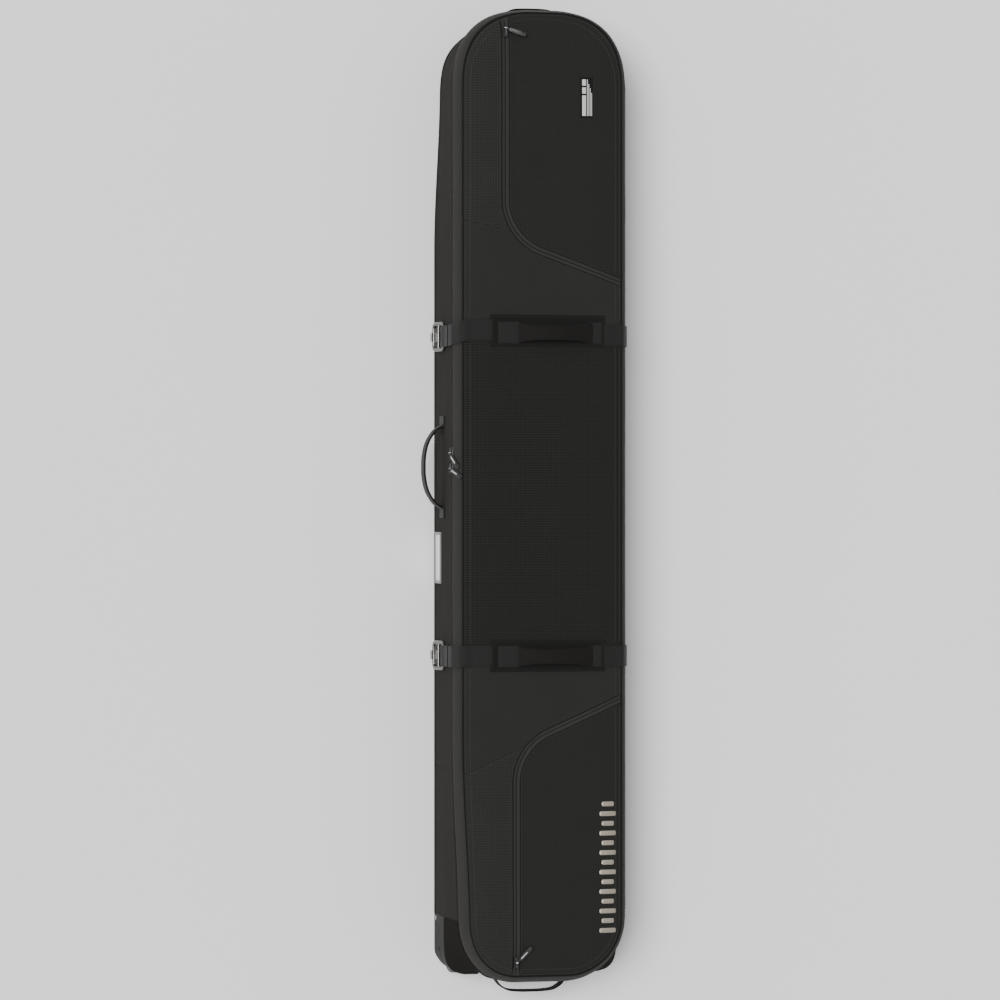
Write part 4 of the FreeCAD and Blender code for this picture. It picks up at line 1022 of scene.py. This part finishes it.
def over_housing(low, housing_end):
    """Carries a wall out over a wheel housing's squarer corner, more the lower it hangs."""

    def bend(s, inset, z):
        turn = (s - FOOT_START) / FOOT_ROUND
        if s > FOOT_START + FOOT_ROUND * QUARTER:
            turn = math.pi - (s - FOOT_START - 2 * FOOT_FLAT) / FOOT_ROUND
        wide = max(math.cos(turn), 0) / FOOT_ROUND
        long = max(math.sin(turn), 0) / (FOOT_STRAIGHT - housing_end)
        reach = (wide ** 6 + long ** 6) ** (-1 / 6) - FOOT_ROUND + 1.5
        reach *= 1 - eased(turn, 0.85, 1.07)
        return -reach * max((WALL_TOP - z) / (WALL_TOP - low), 0) ** 1.3

    return bend


def sides():
    """The shoulder of the lid and the walls of the base, in panels that meet at upright seams."""
    head_zip, foot_zip = on_zip_side(SIDE_SEAMS["head"]), on_zip_side(SIDE_SEAMS["foot"])
    head_hinge, foot_hinge = SIDE_SEAMS["head"], SIDE_SEAMS["foot"]
    spans = {
        "head": (head_hinge, head_zip),
        "zip": (head_zip, foot_zip),
        "foot": (foot_zip, RIM_LONG + foot_hinge),
        "hinge": (foot_hinge, head_hinge),
    }
    for tag, (start, end) in spans.items():
        shape = loft(Shape(), rim_between(start, end), shoulder_section(), bend=pinched(start, end))
        shape.piece(f"shoulder_{tag}", SHOULDER, "lid", "shell_fabric",
                    ["lid_shoulder"] if tag == "zip" else [])

    housing_low, housing_high = corners("wheel_housings")
    near_foot = housing_low.y + housing_high.z - FOOT_STRAIGHT
    side_x = FOOT_FLAT + math.sqrt(FOOT_ROUND ** 2 - near_foot ** 2)
    inner_x = HALF_WIDE - HOUSING_WIDE
    over = housing_high.z - 6
    walls = [
        ("head", head_hinge, head_zip, 4, ["gusset_head_end"]),
        ("zip", head_zip, foot_zip, 4, ["gusset_zip_side"]),
        ("foot_zip", foot_zip, on_foot_corner(-side_x), 4, []),
        ("over_wheel_zip", on_foot_corner(-side_x), on_foot_corner(-inner_x), over, []),
        ("foot", on_foot_corner(-inner_x), on_foot_corner(inner_x), 4, ["gusset_foot_end"]),
        ("over_wheel_hinge", on_foot_corner(inner_x), on_foot_corner(side_x), over, []),
        ("foot_hinge", on_foot_corner(side_x), RIM_LONG + foot_hinge, 4, []),
        ("hinge", foot_hinge, head_hinge, 4, ["gusset_hinge_side"]),
    ]
    for tag, start, end, low, nodes in walls:
        over_wheel = tag.startswith("over")
        bend = wall_bend(start, end, 0 if tag == "foot" else 0.9)
        if over_wheel:
            bend = over_housing(low, housing_low.y)
        shape = loft(Shape(), rim_between(start, end, 6), wall_section(low, WALL_TOP + 0.4), bend=bend)
        # The wheel end and the walls over the wheels take the darker cloth, which is painted shade for walls
        # turned away from the light.
        look = FOOT_SHADED_CLOTH if over_wheel or tag == "foot" else SHELL
        shape.piece(f"wall_{tag}", look, "base", "shell_fabric", nodes)

    def bead(inset, z, radius):
        return [(inset + a, z + b) for a, b in round_section(radius, 10)]

    lid_bead = loft(Shape(), rim_all(6), bead(13.4, 197.5, 1.9), closed=True)
    lid_bead.piece("lid_edge_piping", PIPING, "lid", "piping", ["lid_piping"])
    back_bead = Shape()
    loft(back_bead, rim_between(on_foot_corner(side_x) - RIM_LONG, on_foot_corner(-side_x), 7),
         bead(0.4, 5.8, 1.9))
    loft(back_bead, rim_between(on_foot_corner(-inner_x), on_foot_corner(inner_x), 7), bead(0.4, 5.8, 1.9))
    back_bead.piece("back_edge_piping", PIPING, "base", "piping", ["back_piping"])

    hinge = skin([(0.5, 156.5 + 1.5 * n) for n in range(12)], 2.0)
    shape = loft(Shape(), rim_between(FOOT_STRAIGHT - 2, HEAD_STRAIGHT + 2), hinge)
    shape.piece("hinge_cloth", SHELL, None, "shell_fabric", ["hinge_band"],
                ("base", "lid", (HALF_WIDE, 0, WALL_TOP + 0.5), (HALF_WIDE, 0, SHOULDER_BASE - 0.5)))


def side_stitching():
    """Rows of stitches along the top of the walls, the foot of the shoulder and the side seams."""
    for body, rows, name in (("base", ((-0.3, 155.0), (-1.0, 14.0)), "wall_stitches"),
                             ("lid", ((0.2, 174.5), (9.2, 193.5)), "shoulder_stitches")):
        shape = Shape()
        for inset, z in rows:
            low = FOOT_END + 130
            for start, end in ((low, HEAD_STRAIGHT), (on_zip_side(HEAD_STRAIGHT), on_zip_side(low))):
                path = [inward(place, inset - 0.1, z) for place in rim_between(start, end, 6)]
                out = rim_at((start + end) / 2)[1]
                stitches(shape, path, (out.x, out.y, 0.2 if body == "base" else 0.5))
        shape.piece(name, THREAD, body, "piping")


# ---------------------------------------------------------------- main zipper

TOOTH_PITCH = 3.0


def main_zipper():
    """Two tapes round every side but the hinge side, with interlocking coil teeth."""
    start, end = HEAD_STRAIGHT, RIM_LONG + FOOT_STRAIGHT
    places = rim_between(start, end, 7)
    for tag, body, low, high, shift in (("base", "base", 156.0, 164.5, 0.0),
                                        ("lid", "lid", 165.5, 172.0, 0.5)):
        heights = [low + (high - low) * n / 4 for n in range(5)]
        tape = loft(Shape(), places, skin([(3.2 + 0.3 * (n % 2), z) for n, z in enumerate(heights)], 1.2))
        tape.piece(f"main_tape_{tag}", MAIN_TAPE, body, "zipper_tape", [f"{tag}_zip_tape"])
        teeth = Shape()
        middle = 163.7 if tag == "base" else 166.3
        count = int((end - start) / TOOTH_PITCH)
        for n in range(count):
            point, out, s = rim_at(start + (n + shift) * TOOTH_PITCH)
            centre = Vector((point.x - out.x * 2.7, point.y - out.y * 2.7, middle))
            along = Vector((-out.y, out.x, 0)) * 0.95
            deep, tall = Vector((out.x, out.y, 0)) * 1.0, Vector((0, 0, 1.7))
            points = [centre + along, centre - along, centre + deep, centre - deep, centre + tall,
                      centre - tall]
            faces = [[0, 2, 4], [2, 1, 4], [1, 3, 4], [3, 0, 4], [2, 0, 5], [1, 2, 5], [3, 1, 5], [0, 3, 5]]
            teeth.add(points, faces)
        teeth.piece(f"main_teeth_{tag}", PLASTIC, body, "zipper_tape")


# ---------------------------------------------------------------- back, pads and lining


def channel_dip(y):
    """1 on the sewn channels across a pad, 0 between them."""
    part = (y / PAD_CHANNEL) % 1.0
    return hump(min(part, 1 - part) * PAD_CHANNEL, 7)


def flat_pad(inset, low, high, housings, step=14.0):
    """A pad or panel with the shell's outline, from low(x, y) to high(x, y)."""
    housing_low, housing_high = corners("wheel_housings")
    inner_x, near_y = HALF_WIDE - HOUSING_WIDE - 0.4, housing_low.y + housing_high.z + 0.4

    def allowed(x, y, margin=0.0):
        if housings and abs(x) > inner_x - margin and y < near_y + margin:
            return False
        return seam_distance(x, y) > inset - SEAM_INSET + margin

    fixed = [([inward(place, inset, 0) for place in rim_all(9)], True)]
    fixed.append(([inward(place, inset + 6, 0) for place in rim_all(9)], True))
    if housings:
        for side in (-1, 1):
            fixed.append(([(side * inner_x, -900), (side * inner_x, near_y), (side * 172, near_y)], False))
    for n in range(-7, 8):
        y = n * PAD_CHANNEL
        reach = HALF_WIDE - inset - 30 if abs(y) > 740 else HALF_WIDE - inset - 8
        for shift in (-6, 0, 6):
            fixed.append(([(-reach + 2 * reach * k / 12, y + shift) for k in range(13)], False))
    loose = loose_grid((-160, 160), (-880, 880), step, lambda x, y: allowed(x, y, 9) and channel_dip(y) < 0.1)
    found, zones = net(fixed, loose, lambda x, y: "all" if allowed(x, y) else None)
    return cloth(Shape(), found, zones["all"], high, low), found, zones["all"]


def pad_surface(inset, level, deep):
    """A pad's face: level in the middle, lower at its edge and in its channels."""

    def height(x, y):
        edge = max(seam_distance(x, y) + SEAM_INSET - inset, 0)
        pressed = level - deep * max(channel_dip(y), hump(edge, 6))
        return pressed + 0.3 * cloud(x / 50, y / 50, 5.0) * (deep > 0)

    return height


def insides():
    """The back panel, the foam pads under their lining and the pockets' linings."""
    back, _, _ = flat_pad(0.8, lambda x, y: 0.0, pad_surface(0.8, 3.9, 0.0), True)
    back.piece("back_cloth", SHELL, "base", "shell_fabric", ["back_panel"])
    floor_pad, _, _ = flat_pad(6.2, lambda x, y: 4.2, pad_surface(6.2, 9.9, 2.6), True)
    floor_pad.piece("floor_pad", LINING, "base", "lining", ["back_pad"])
    lid_foam, _, _ = flat_pad(22, pad_surface(22, 186.6, -2.4), lambda x, y: 191.8, False)
    lid_foam.piece("lid_foam_pad", LINING, "lid", "lining", ["lid_pad"])

    def puffed(s, inset, z):
        return -2.4 * hump(abs((s / PAD_CHANNEL) % 1.0 - 0.5) * PAD_CHANNEL, 7) if inset > 8 else 0

    outer = [(6.2, 13), (6.0, 40), (6.0, 80), (6.0, 120), (6.2, 146)]
    inner = [(9.5, 147.6), (11.4, 142), (11.8, 120), (11.8, 80), (11.8, 40), (11.4, 18), (9.5, 11.6)]
    low_over = [(6.2, 108), (6.0, 128), (6.2, 146), (9.5, 147.6), (11.4, 142), (11.6, 112), (9.5, 106.6)]
    foot_zip, foot_hinge = on_zip_side(FOOT_STRAIGHT), RIM_LONG + FOOT_STRAIGHT
    inner_x = HALF_WIDE - HOUSING_WIDE - 4
    spans = [
        ("hinge", FOOT_STRAIGHT, HEAD_STRAIGHT, outer + inner),
        ("head", HEAD_STRAIGHT, on_zip_side(HEAD_STRAIGHT), outer + inner),
        ("zip", on_zip_side(HEAD_STRAIGHT), foot_zip, outer + inner),
        ("over_wheel_zip", foot_zip, on_foot_corner(-inner_x), low_over),
        ("foot", on_foot_corner(-inner_x), on_foot_corner(inner_x), outer + inner),
        ("over_wheel_hinge", on_foot_corner(inner_x), foot_hinge, low_over),
    ]
    for tag, start, end, section in spans:
        shape = loft(Shape(), rim_between(start + 0.5, end - 0.5, 9), section, bend=puffed)
        made = shape.piece(f"wall_pad_{tag}", LINING, "base", "lining", ["wall_pads"] if tag == "zip" else [])

    for pocket in POCKETS:
        loops = [([inward(place, 22, 0) for place in rim_all(9)], True), (pocket_path(pocket, 0, 9), False)]
        loose = loose_grid((-140, 140), (-860, 860), 20,
                           lambda x, y: seam_distance(x, y) > 16 and pocket_side(pocket, x, y) > 9)
        found, zones = net(loops, loose, lambda x, y: "all" if seam_distance(x, y) > 8
                           and pocket_side(pocket, x, y) > 0 else None)
        level = 192.4

        def lining_top(x, y):
            return level + 0.8 + 0.2 * cloud(x / 60, y / 60)

        shape = cloth(Shape(), found, zones["all"], lining_top, lambda x, y: lining_top(x, y) - 0.7)
        made = shape.piece(f"pocket_lining_{pocket}", LINING, "lid", "lining", ["pocket_liners"])
        flat = [found[n] for face in zones["all"] for n in face]
        area = sum(geometry.area_tri(*(found[n].to_3d() for n in face)) for face in zones["all"]) * MM * MM

    for tag, y in (("head", 350), ("foot", -350)):
        strap = sweep(Shape(), [(-147 + 7 * n, y, 11.6 - 0.3 * math.sin(n)) for n in range(43)],
                      lambda t: flat_section(25, 1.5), (0, 1, 0))
        strap.piece(f"tie_down_strap_{tag}", STRAP, "base", "webbing", ["tie_downs"] if tag == "head" else [])
        clip = Shape()
        for low, high, half in ((-30, 3, 17), (4.2, 30, 14)):
            outline = rounded_box((low, -half), (high, half), 5)
            tab(clip, (0, y, 16.4), (1, 0, 0), (0, 0, 1), outline, 7.5, 1.4)
        tab(clip, (0, y, 20.3), (1, 0, 0), (0, 0, 1), rounded_box((-22, -7), (-4, 7), 3), 1.6, 0.6)
        clip.piece(f"tie_down_clip_{tag}", PLASTIC, "base", "webbing")


# ---------------------------------------------------------------- straps, sleeves and lid handles

GRIP_Y = {"head": 294, "foot": -289}
SIDE_OUT = HALF_WIDE + 2.9
STRAP_WIDE = 38


def long_ribbon(shape, path, wide=STRAP_WIDE, thick=1.8, across=(0, 1, 0)):
    """A flat strap along a smooth line through points."""
    return sweep(shape, smooth_path(path, 4), lambda t: flat_section(wide, thick), across)


def box_stitch(shape, low, high, height, up=(0, 0, 1), crossed=True):
    """The sewn rectangle with a cross in it that holds webbing down; height(x, y) is the surface."""
    (x0, y0), (x1, y1) = low, high
    loops = [[(x0, y0), (x1, y0), (x1, y1), (x0, y1), (x0, y0)]]
    if crossed:
        loops += [[(x0, y0), (x1, y1)], [(x0, y1), (x1, y0)]]
    for loop in loops:
        for first, second in zip(loop, loop[1:]):
            parts = [Vector(first).lerp(Vector(second), n / 6) for n in range(7)]
            stitches(shape, [Vector((p.x, p.y, height(p.x, p.y) + 0.15)) for p in parts], up, 3.6, 2.5, 0.6)
    return shape


def lid_strap(tag):
    """One compression strap: over the lid, down both sides, with its sleeve and carrying grip."""
    y, sleeve_y = STRAPS[tag], SLEEVES[tag]
    lean = sleeve_y - y
    top = FACE_Z + 1.3
    left = [(-88, y + lean * 1.1, lid_z(-88, sleeve_y) + 2.0),
            (-112, y + lean * 1.1, lid_z(-112, sleeve_y) + 1.7),
            (-132, y + lean, lid_z(-132, sleeve_y) + 1.6), (-145, y + lean * 0.85, 202.6),
            (-151.5, y + lean * 0.65, 197.2), (-157.2, y + lean * 0.4, 186), (-162.2, y + lean * 0.15, 174),
            (-163.6, y, 162), (-163.6, y, 140), (-163.3, y, 124)]
    shape = long_ribbon(Shape(), left)
    shape.piece(f"strap_left_{tag}", STRAP, None, "webbing",
                [f"strap_tail_{tag}"] + (["lid_straps"] if tag == "head" else []),
                ("lid", f"strap_end_{tag}", (-158, y, 177), (-162.8, y, 166.5)))

    around = Shape()
    bar_x, bar_z, turn = -165, 113, 4.0
    loop = [(-163.3, y, 132), (-162.0, y, 122)]
    for n in range(9):
        angle = math.radians(10 - n * 25)
        loop.append((bar_x + turn * math.cos(angle), y, bar_z + turn * math.sin(angle)))
    loop += [(-168.8, y, 120), (-166.6, y, 130), (-165.6, y, 143), (-165.5, y, 152)]
    long_ribbon(around, loop)
    around.piece(f"strap_wrap_{tag}", STRAP, f"strap_end_{tag}", "webbing")

    right = [(108, y, lid_z(108, y) + 1.9), (124, y, lid_z(124, y) + 1.7), (136, y, lid_z(136, y) + 1.5),
             (146.5, y, 202.0), (152, y, 196.6), (157, y, 186), (161.2, y, 176), (162.4, y, 168),
             (162.6, y, 158),
             (162.4, y, 140), (SIDE_OUT - 0.6, y, 100), (SIDE_OUT - 0.6, y, 60), (161.9, y, 12)]
    shape = long_ribbon(Shape(), right)
    shape.piece(f"strap_right_{tag}", STRAP, None, "webbing", ["side_straps"] if tag == "head" else [],
                ("base", "lid", (HALF_WIDE, 0, WALL_TOP + 0.5), (HALF_WIDE, 0, SHOULDER_BASE - 0.5)))
    low = long_ribbon(Shape(), [(-162.4, y, 104), (-162.6, y, 80), (-162.4, y, 40), (-161.9, y, 12)])
    low.piece(f"strap_anchor_{tag}", STRAP, "base", "webbing")

    body = Shape()
    low, high = (-98, sleeve_y - SLEEVE_HALF), (115, sleeve_y + SLEEVE_HALF)
    lid_patch(body, low, high, 0.2, 3.0)
    body.piece(f"sleeve_{tag}", SLEEVE, "lid", "webbing", ["strap_sleeves"] if tag == "head" else [])

    def on_sleeve(x, y_place):
        return lid_z(x, y_place) + 3.2

    thread = Shape()
    box_stitch(thread, (low[0] + 4, low[1] + 4), (high[0] - 4, high[1] - 4), on_sleeve, crossed=False)
    grip_y = GRIP_Y[tag]
    anchors = Shape()
    for x0, x1 in ((-84, -42), (82, 108)):
        lid_patch(anchors, (x0, grip_y - 20), (x1, grip_y + 20), 3.0, 1.7, step=6.0)
        box_stitch(thread, (x0 + 4, grip_y - 16), (x1 - 4, grip_y + 16),
                   lambda x, y_place: lid_z(x, y_place) + 4.7)
    anchors.piece(f"grip_anchors_{tag}", STRAP, "lid", "webbing")
    thread.piece(f"sleeve_stitches_{tag}", LIGHT_THREAD, "lid", "webbing")

    def folded(t):
        """Webbing folded round a core in the middle of the grip, spreading out flat at its ends."""
        ends = abs(2 * t - 1) ** 3
        half, up = 13.5 + 6.0 * ends, 3.6 - 2.4 * ends
        points = []
        for n in range(20):
            angle = 2 * math.pi * n / 20
            a, b = math.cos(angle), math.sin(angle)
            groove = 0.9 * (1 - ends) * hump(a * half, 2.2) * (b > 0)
            points.append((half * math.copysign(abs(a) ** 0.7, a),
                           up * math.copysign(abs(b) ** 0.6, b) - groove
                           + 0.5 * (1 - ends) * math.sin(a * 9)))
        return points

    path = [(-47, grip_y, top + 3.7), (-42, grip_y, top + 4.6), (-27, grip_y, top + 9.5),
            (0, grip_y, top + 14.5), (21, grip_y, top + 15.6), (42, grip_y, top + 14.5),
            (69, grip_y, top + 9.5), (84, grip_y, top + 4.6),
            (89, grip_y, top + 3.7)]
    grip = sweep(Shape(), smooth_path(path, 3), folded, (0, -1, 0))
    grip.piece(f"grip_{tag}", GRIP, None, "grip_webbing", [f"lid_handle_{tag}"],
               ("lid", f"lid_grip_{tag}", (0, grip_y, top + 4.0), (0, grip_y, top + 13.0)))


RING_LEAN = math.radians(14)


def strap_ring(tag):
    """The metal ring at the end of a strap: a rounded frame with a bar across its middle."""
    half, tall, turn = 23.5, 43.0, 8.0
    loop = rounded_box((-half, -tall), (half, 0), turn, 6)
    place = Matrix.Translation((-165, STRAPS[tag], 113)) @ Matrix.Rotation(RING_LEAN, 4, "Y")
    ring = Shape()
    rail = [place @ Vector((0, a, b)) for a, b in loop]
    out = place.to_3x3() @ Vector((1, 0, 0))
    sweep(ring, rail, lambda t: [(a * 0.9, b * 1.25) for a, b in round_section(2.6, 14)], out, closed=True)
    bar = [place @ Vector((0, -half + half * n / 4, -tall / 2)) for n in range(9)]
    sweep(ring, bar, lambda t: round_section(2.1, 12), out)
    ring.piece(f"ring_{tag}", CHROME, f"strap_end_{tag}", "metal", [f"strap_ring_{tag}"])


# ---------------------------------------------------------------- carrying handles


def end_wall_y(x, end, out):
    """How far along the bag the end wall stands at x, and out millimetres outside it."""
    radius = HEAD_ROUND if end > 0 else FOOT_ROUND
    flat = HALF_WIDE - radius
    return end * (HEAD_END - radius + math.sqrt((radius + out) ** 2 - max(abs(x) - flat, 0) ** 2))


def carry_handle(name, ends, apex, look_path, wide, thick, body, node):
    """A webbing loop between two ends, standing out from the wall."""
    first, second = (Vector(point) for point in ends)
    out = Vector(apex) - (first + second) / 2
    along = second - first
    points = [first + along * share + out * rise for share, rise in look_path]
    loop = sweep(Shape(), smooth_path(points, 4), lambda t: flat_section(wide, thick), (0, 0, 1))
    middle = (first + second) / 2
    loop.piece(name, GRIP, None, "grip_webbing", [node], ("base", body, middle, middle + out * 0.5))


def patches(name, spots, replaced):
    """Reinforcing patches on the walls.  A spot is a line of points with the wall's outward direction."""
    cloth_shape, thread = Shape(), Shape()
    for points, out in spots:
        sweep(cloth_shape, smooth_path(points, 4), lambda t: flat_section(40, 2.2), (0, 0, 1))
        out = Vector(out)
        for height in (-15, 15):
            row = [Vector(p) + out * 1.2 + Vector((0, 0, height)) for p in smooth_path(points, 4)[1:-1]]
            stitches(thread, row, out, 3.6, 2.5, 0.6)
        for point in (points[0], points[-1]):
            inner = Vector(point).lerp(Vector(points[len(points) // 2]), 0.25)
            row = [inner + out * 1.2 + Vector((0, 0, -15 + 6 * n)) for n in range(6)]
            stitches(thread, row, out, 3.6, 2.5, 0.6)
    cloth_shape.piece(name, STRAP, "base", "webbing", replaced)
    thread.piece(f"{name}_stitches", THREAD, "base", "webbing")


def handles():
    """The side handle and the handles on both ends, with the patches they are sewn to."""
    z, middle = 88, 53
    round_path = [(-0.02, -0.02), (0, 0.04), (0.06, 0.42), (0.2, 0.8), (0.36, 0.97), (0.5, 1.0), (0.64, 0.97),
                  (0.8, 0.8), (0.94, 0.42), (1, 0.04), (1.02, -0.02)]
    flat_path = [(-0.02, -0.04), (0.0, 0.05), (0.06, 0.5), (0.17, 0.88), (0.32, 1.0), (0.5, 1.02),
                 (0.68, 1.0),
                 (0.83, 0.88), (0.94, 0.5), (1.0, 0.05), (1.02, -0.04)]
    wall_x = -HALF_WIDE - 2.6
    carry_handle("side_loop", [(wall_x - 1, middle - 74, z), (wall_x - 1, middle + 74, z)],
                 (-197.5, middle, z),
                 round_path, 29, 3.6, "side_grip", "side_handle")
    spots = []
    for way in (-1, 1):
        points = [(wall_x, middle + way * (72 + 7 * n), z) for n in range(4)]
        spots.append((points, (-1, 0, 0)))
    for end, half, name, apex, look_path in ((-1, 65, "foot", -904.2, flat_path),
                                             (1, 48, "head", 889.8, flat_path)):
        y = end_wall_y(half, end, 2.8)
        carry_handle(f"{name}_loop", [(-half, y, z), (half, y, z)], (0, apex, z), look_path, 25, 2.8,
                     f"{name}_grip", f"{name}_handle")
        for way in (-1, 1):
            points = [(way * (half - 3 + 6 * n), end_wall_y(half - 3 + 6 * n, end, 2.4), z) for n in range(5)]
            angle = math.asin(max(half + 8 - (HALF_WIDE - (HEAD_ROUND if end > 0 else FOOT_ROUND)), 0)
                              / (HEAD_ROUND if end > 0 else FOOT_ROUND))
            spots.append((points, (way * math.sin(angle), end * math.cos(angle), 0)))
    patches("handle_patches_sewn", spots, ["handle_patches"])


# ---------------------------------------------------------------- pulls, label and bars


def pull(name, centre, along, up, sink, wide, body, node, inlay, look=SATIN):
    """A moulded pull with a neck and a bright inlay, hung from a wire ring round the slider's bridge."""
    centre, along, up = Vector(centre), Vector(along).normalized(), Vector(up).normalized()
    grip = Shape()
    half = wide / 2
    outline = [(6, -half * 0.55), (8, -half * 0.8), (14, -half), (35, -half), (38.6, -half * 0.75),
               (39.8, -half * 0.3)]
    outline = outline + [(a, -b) for a, b in reversed(outline)]
    base = centre + up * sink
    tab(grip, base, along, up, outline, 2.6, 0.7)
    tab(grip, base, along, up, rounded_box((1.2, -1.6), (9, 1.6), 1.0, 3), 1.9, 0.4)
    for n in range(3):
        at = 29 + 2.8 * n
        tab(grip, base + up * 1.4, along, up,
            rounded_box((at, -half * 0.62), (at + 1.2, half * 0.62), 0.5, 2), 0.8, 0.2)
    grip.piece(name, RUBBER, body, "pull_rubber", [node])
    bright = Shape()
    for low, high in inlay:
        tab(bright, base + up * 1.35, along, up, rounded_box(low, high, 0.8, 3), 0.9, 0.25)
    wire = [centre + Vector((2.5 * math.cos(a), 0, 2.5 * math.sin(a))) for a in
            [2 * math.pi * n / 16 for n in range(16)]]
    sweep(bright, wire, lambda t: round_section(0.75, 8), (0, 1, 0), closed=True)
    bright.piece(f"{name}_inlay", look, body, "metal")


def pulls():
    """The four zipper pulls."""
    slope = Vector((SEAM_INSET, 0, SEAM_Z - SHOULDER_BASE)).normalized()
    outward = Vector((-slope.z, 0, slope.x))
    strip = [((10, -1.0), (27, 1.0))]
    for tag, drop in (("head", 1.0), ("foot", 0.45)):
        centre = Vector(JOINTS[f"main_pull_{tag}_swing"]["pos_m"]) / MM
        pull(f"main_tab_{tag}", centre, slope + Vector((0, -drop, 0)), outward, 3.3, 9.5, f"pull_{tag}",
             f"main_pull_{tag}", strip)
    thin = [((8, -2.9), (34, -2.0)), ((8, 2.0), (34, 2.9))]
    for tag, along, inlay in (("head", (1, -0.3, 0), thin), ("foot", (1, 1, 0), strip)):
        centre = Vector(JOINTS[f"pocket_pull_{tag}_swing"]["pos_m"]) / MM
        pull(f"pocket_tab_{tag}", centre, along, (0, 0, 1), -0.9, 8.0, f"pocket_pull_{tag}",
             f"pocket_pull_{tag}",
             inlay)


def marks():
    """A sewn label with plain stripes, and a column of plain bars, in place of any words."""
    label = lid_patch(Shape(), (67, 682), (91, 754), 0.1, 0.9, 1.5, 6.0)
    label.piece("lid_label", LABEL, "lid", "badge", ["lid_badges"])
    prints = Shape()
    blocks = [((71, 686), (78, 722)), ((71, 725), (78, 736)), ((71, 739), (78, 750))]
    lines = [((x, 686), (x + 1.4, 750 - (x - 80) * 3)) for x in (80, 82.6, 85.2, 87.8)]
    for low, high in blocks + lines:
        lid_patch(prints, low, high, 1.15, 0.35, 0.4, 6.0)
    prints.piece("label_stripes", LABEL_PRINT, "lid", "badge")
    bars = Shape()
    for n in range(14):
        inset = 4 * (n % 2)
        y = -790 + 17.6 * n
        lid_patch(bars, (104 + inset, y), (135 - inset, y + 8.5), 0.25, 0.5, 2.5, 5.0)
    bars.piece("lid_bars", BAR_FILM, "lid", "badge")


# ---------------------------------------------------------------- CAD pieces that stay


def dress(look, slot, *nodes):
    """Gives CAD nodes a material."""
    for name in nodes:
        made = frame["nodes"][name]
        made.data.materials.clear()
        made.data.materials.append(look)


def carried_over():
    """Looks for the moulded and metal parts, whose CAD shapes are right as they are."""
    sides = ("zip_side", "hinge_side")
    dress(PLASTIC, "black_plastic", "wheel_housings", "kick_plate")
    dress(FRAME_GREY, "black_plastic", "id_frame")
    dress(SATIN, "black_plastic", "strap_hooks")
    dress(CARD, "card", "id_card")
    dress(FILM, "clear_window", "id_window")
    dress(STEEL, "steel", "wheel_axles", "housing_screws", *[f"bearings_{side}" for side in sides])
    dress(HUB, "hub_plastic", *[f"wheel_hub_{side}" for side in sides])
    dress(TREAD, "urethane", *[f"tyre_{side}" for side in sides])
    dress(DARK_METAL, "dark_metal",
          *[f"{kind}_slider_{tag}" for kind in ("main", "pocket") for tag in POCKETS])


# ---------------------------------------------------------------- floor, light and camera

VIEW_TILT = math.radians(12)
VIEW_FAR = 7.5
VIEW_WIDE = 1.803
LID_PLACE = (0.0435, 0.004)


def studio():
    """A pale floor, soft light from the zipper side, and the camera above."""
    floor_mesh = bpy.data.meshes.new("floor")
    reach = 12.0
    floor_mesh.from_pydata([(-reach, -reach, -0.0004), (reach, -reach, -0.0004), (reach, reach, -0.0004),
                            (-reach, reach, -0.0004)], [], [(0, 1, 2, 3)])
    white = Look("studio_floor", (0.9, 0.9, 0.9), 0.9, Specular_IOR_Level=0.0)
    white.shade(white.math("MULTIPLY_ADD", white.noise(white.object_place(), 2), 0.02, 0.99))
    floor_mesh.materials.append(white.material)
    floor = bpy.data.objects.new("floor", floor_mesh)
    bpy.context.scene.collection.objects.link(floor)

    world = bpy.data.worlds.new("studio")
    world.use_nodes = True
    world.node_tree.nodes["Background"].inputs["Color"].default_value = (*WHITE, 1)
    world.node_tree.nodes["Background"].inputs["Strength"].default_value = 0.58
    bpy.context.scene.world = world

    def lamp(name, strength, angle, direction):
        made = bpy.data.lights.new(name, "SUN")
        made.energy = strength
        made.angle = math.radians(angle)
        lamp_object = bpy.data.objects.new(name, made)
        lamp_object.rotation_euler = Vector(direction).to_track_quat("-Z", "Y").to_euler()
        bpy.context.scene.collection.objects.link(lamp_object)

    lamp("key", 3.3, 27, (0.46, -0.12, -1))

    out = Vector((-math.sin(VIEW_TILT), 0, math.cos(VIEW_TILT)))
    right = Vector((math.cos(VIEW_TILT), 0, math.sin(VIEW_TILT)))
    up = Vector((0, 1, 0))
    aim = Vector((0, 0, FACE_Z * MM)) - (right * LID_PLACE[0] + up * LID_PLACE[1]) * VIEW_WIDE
    lens = bpy.data.cameras.new("camera")
    lens.sensor_width = 36
    lens.lens = 36 * VIEW_FAR / VIEW_WIDE
    lens.clip_end = 50
    camera = bpy.data.objects.new("camera", lens)
    axes = Matrix((right, up, out)).transposed().to_4x4()
    camera.matrix_world = Matrix.Translation(aim + out * VIEW_FAR) @ axes
    bpy.context.scene.collection.objects.link(camera)
    bpy.context.scene.camera = camera


# ---------------------------------------------------------------- build

lid_cloth()
pocket_welts()
pocket_coils()
lid_stitching()
sides()
side_stitching()
main_zipper()
insides()
for strap_tag in STRAPS:
    lid_strap(strap_tag)
    strap_ring(strap_tag)
handles()
pulls()
marks()
carried_over()
studio()
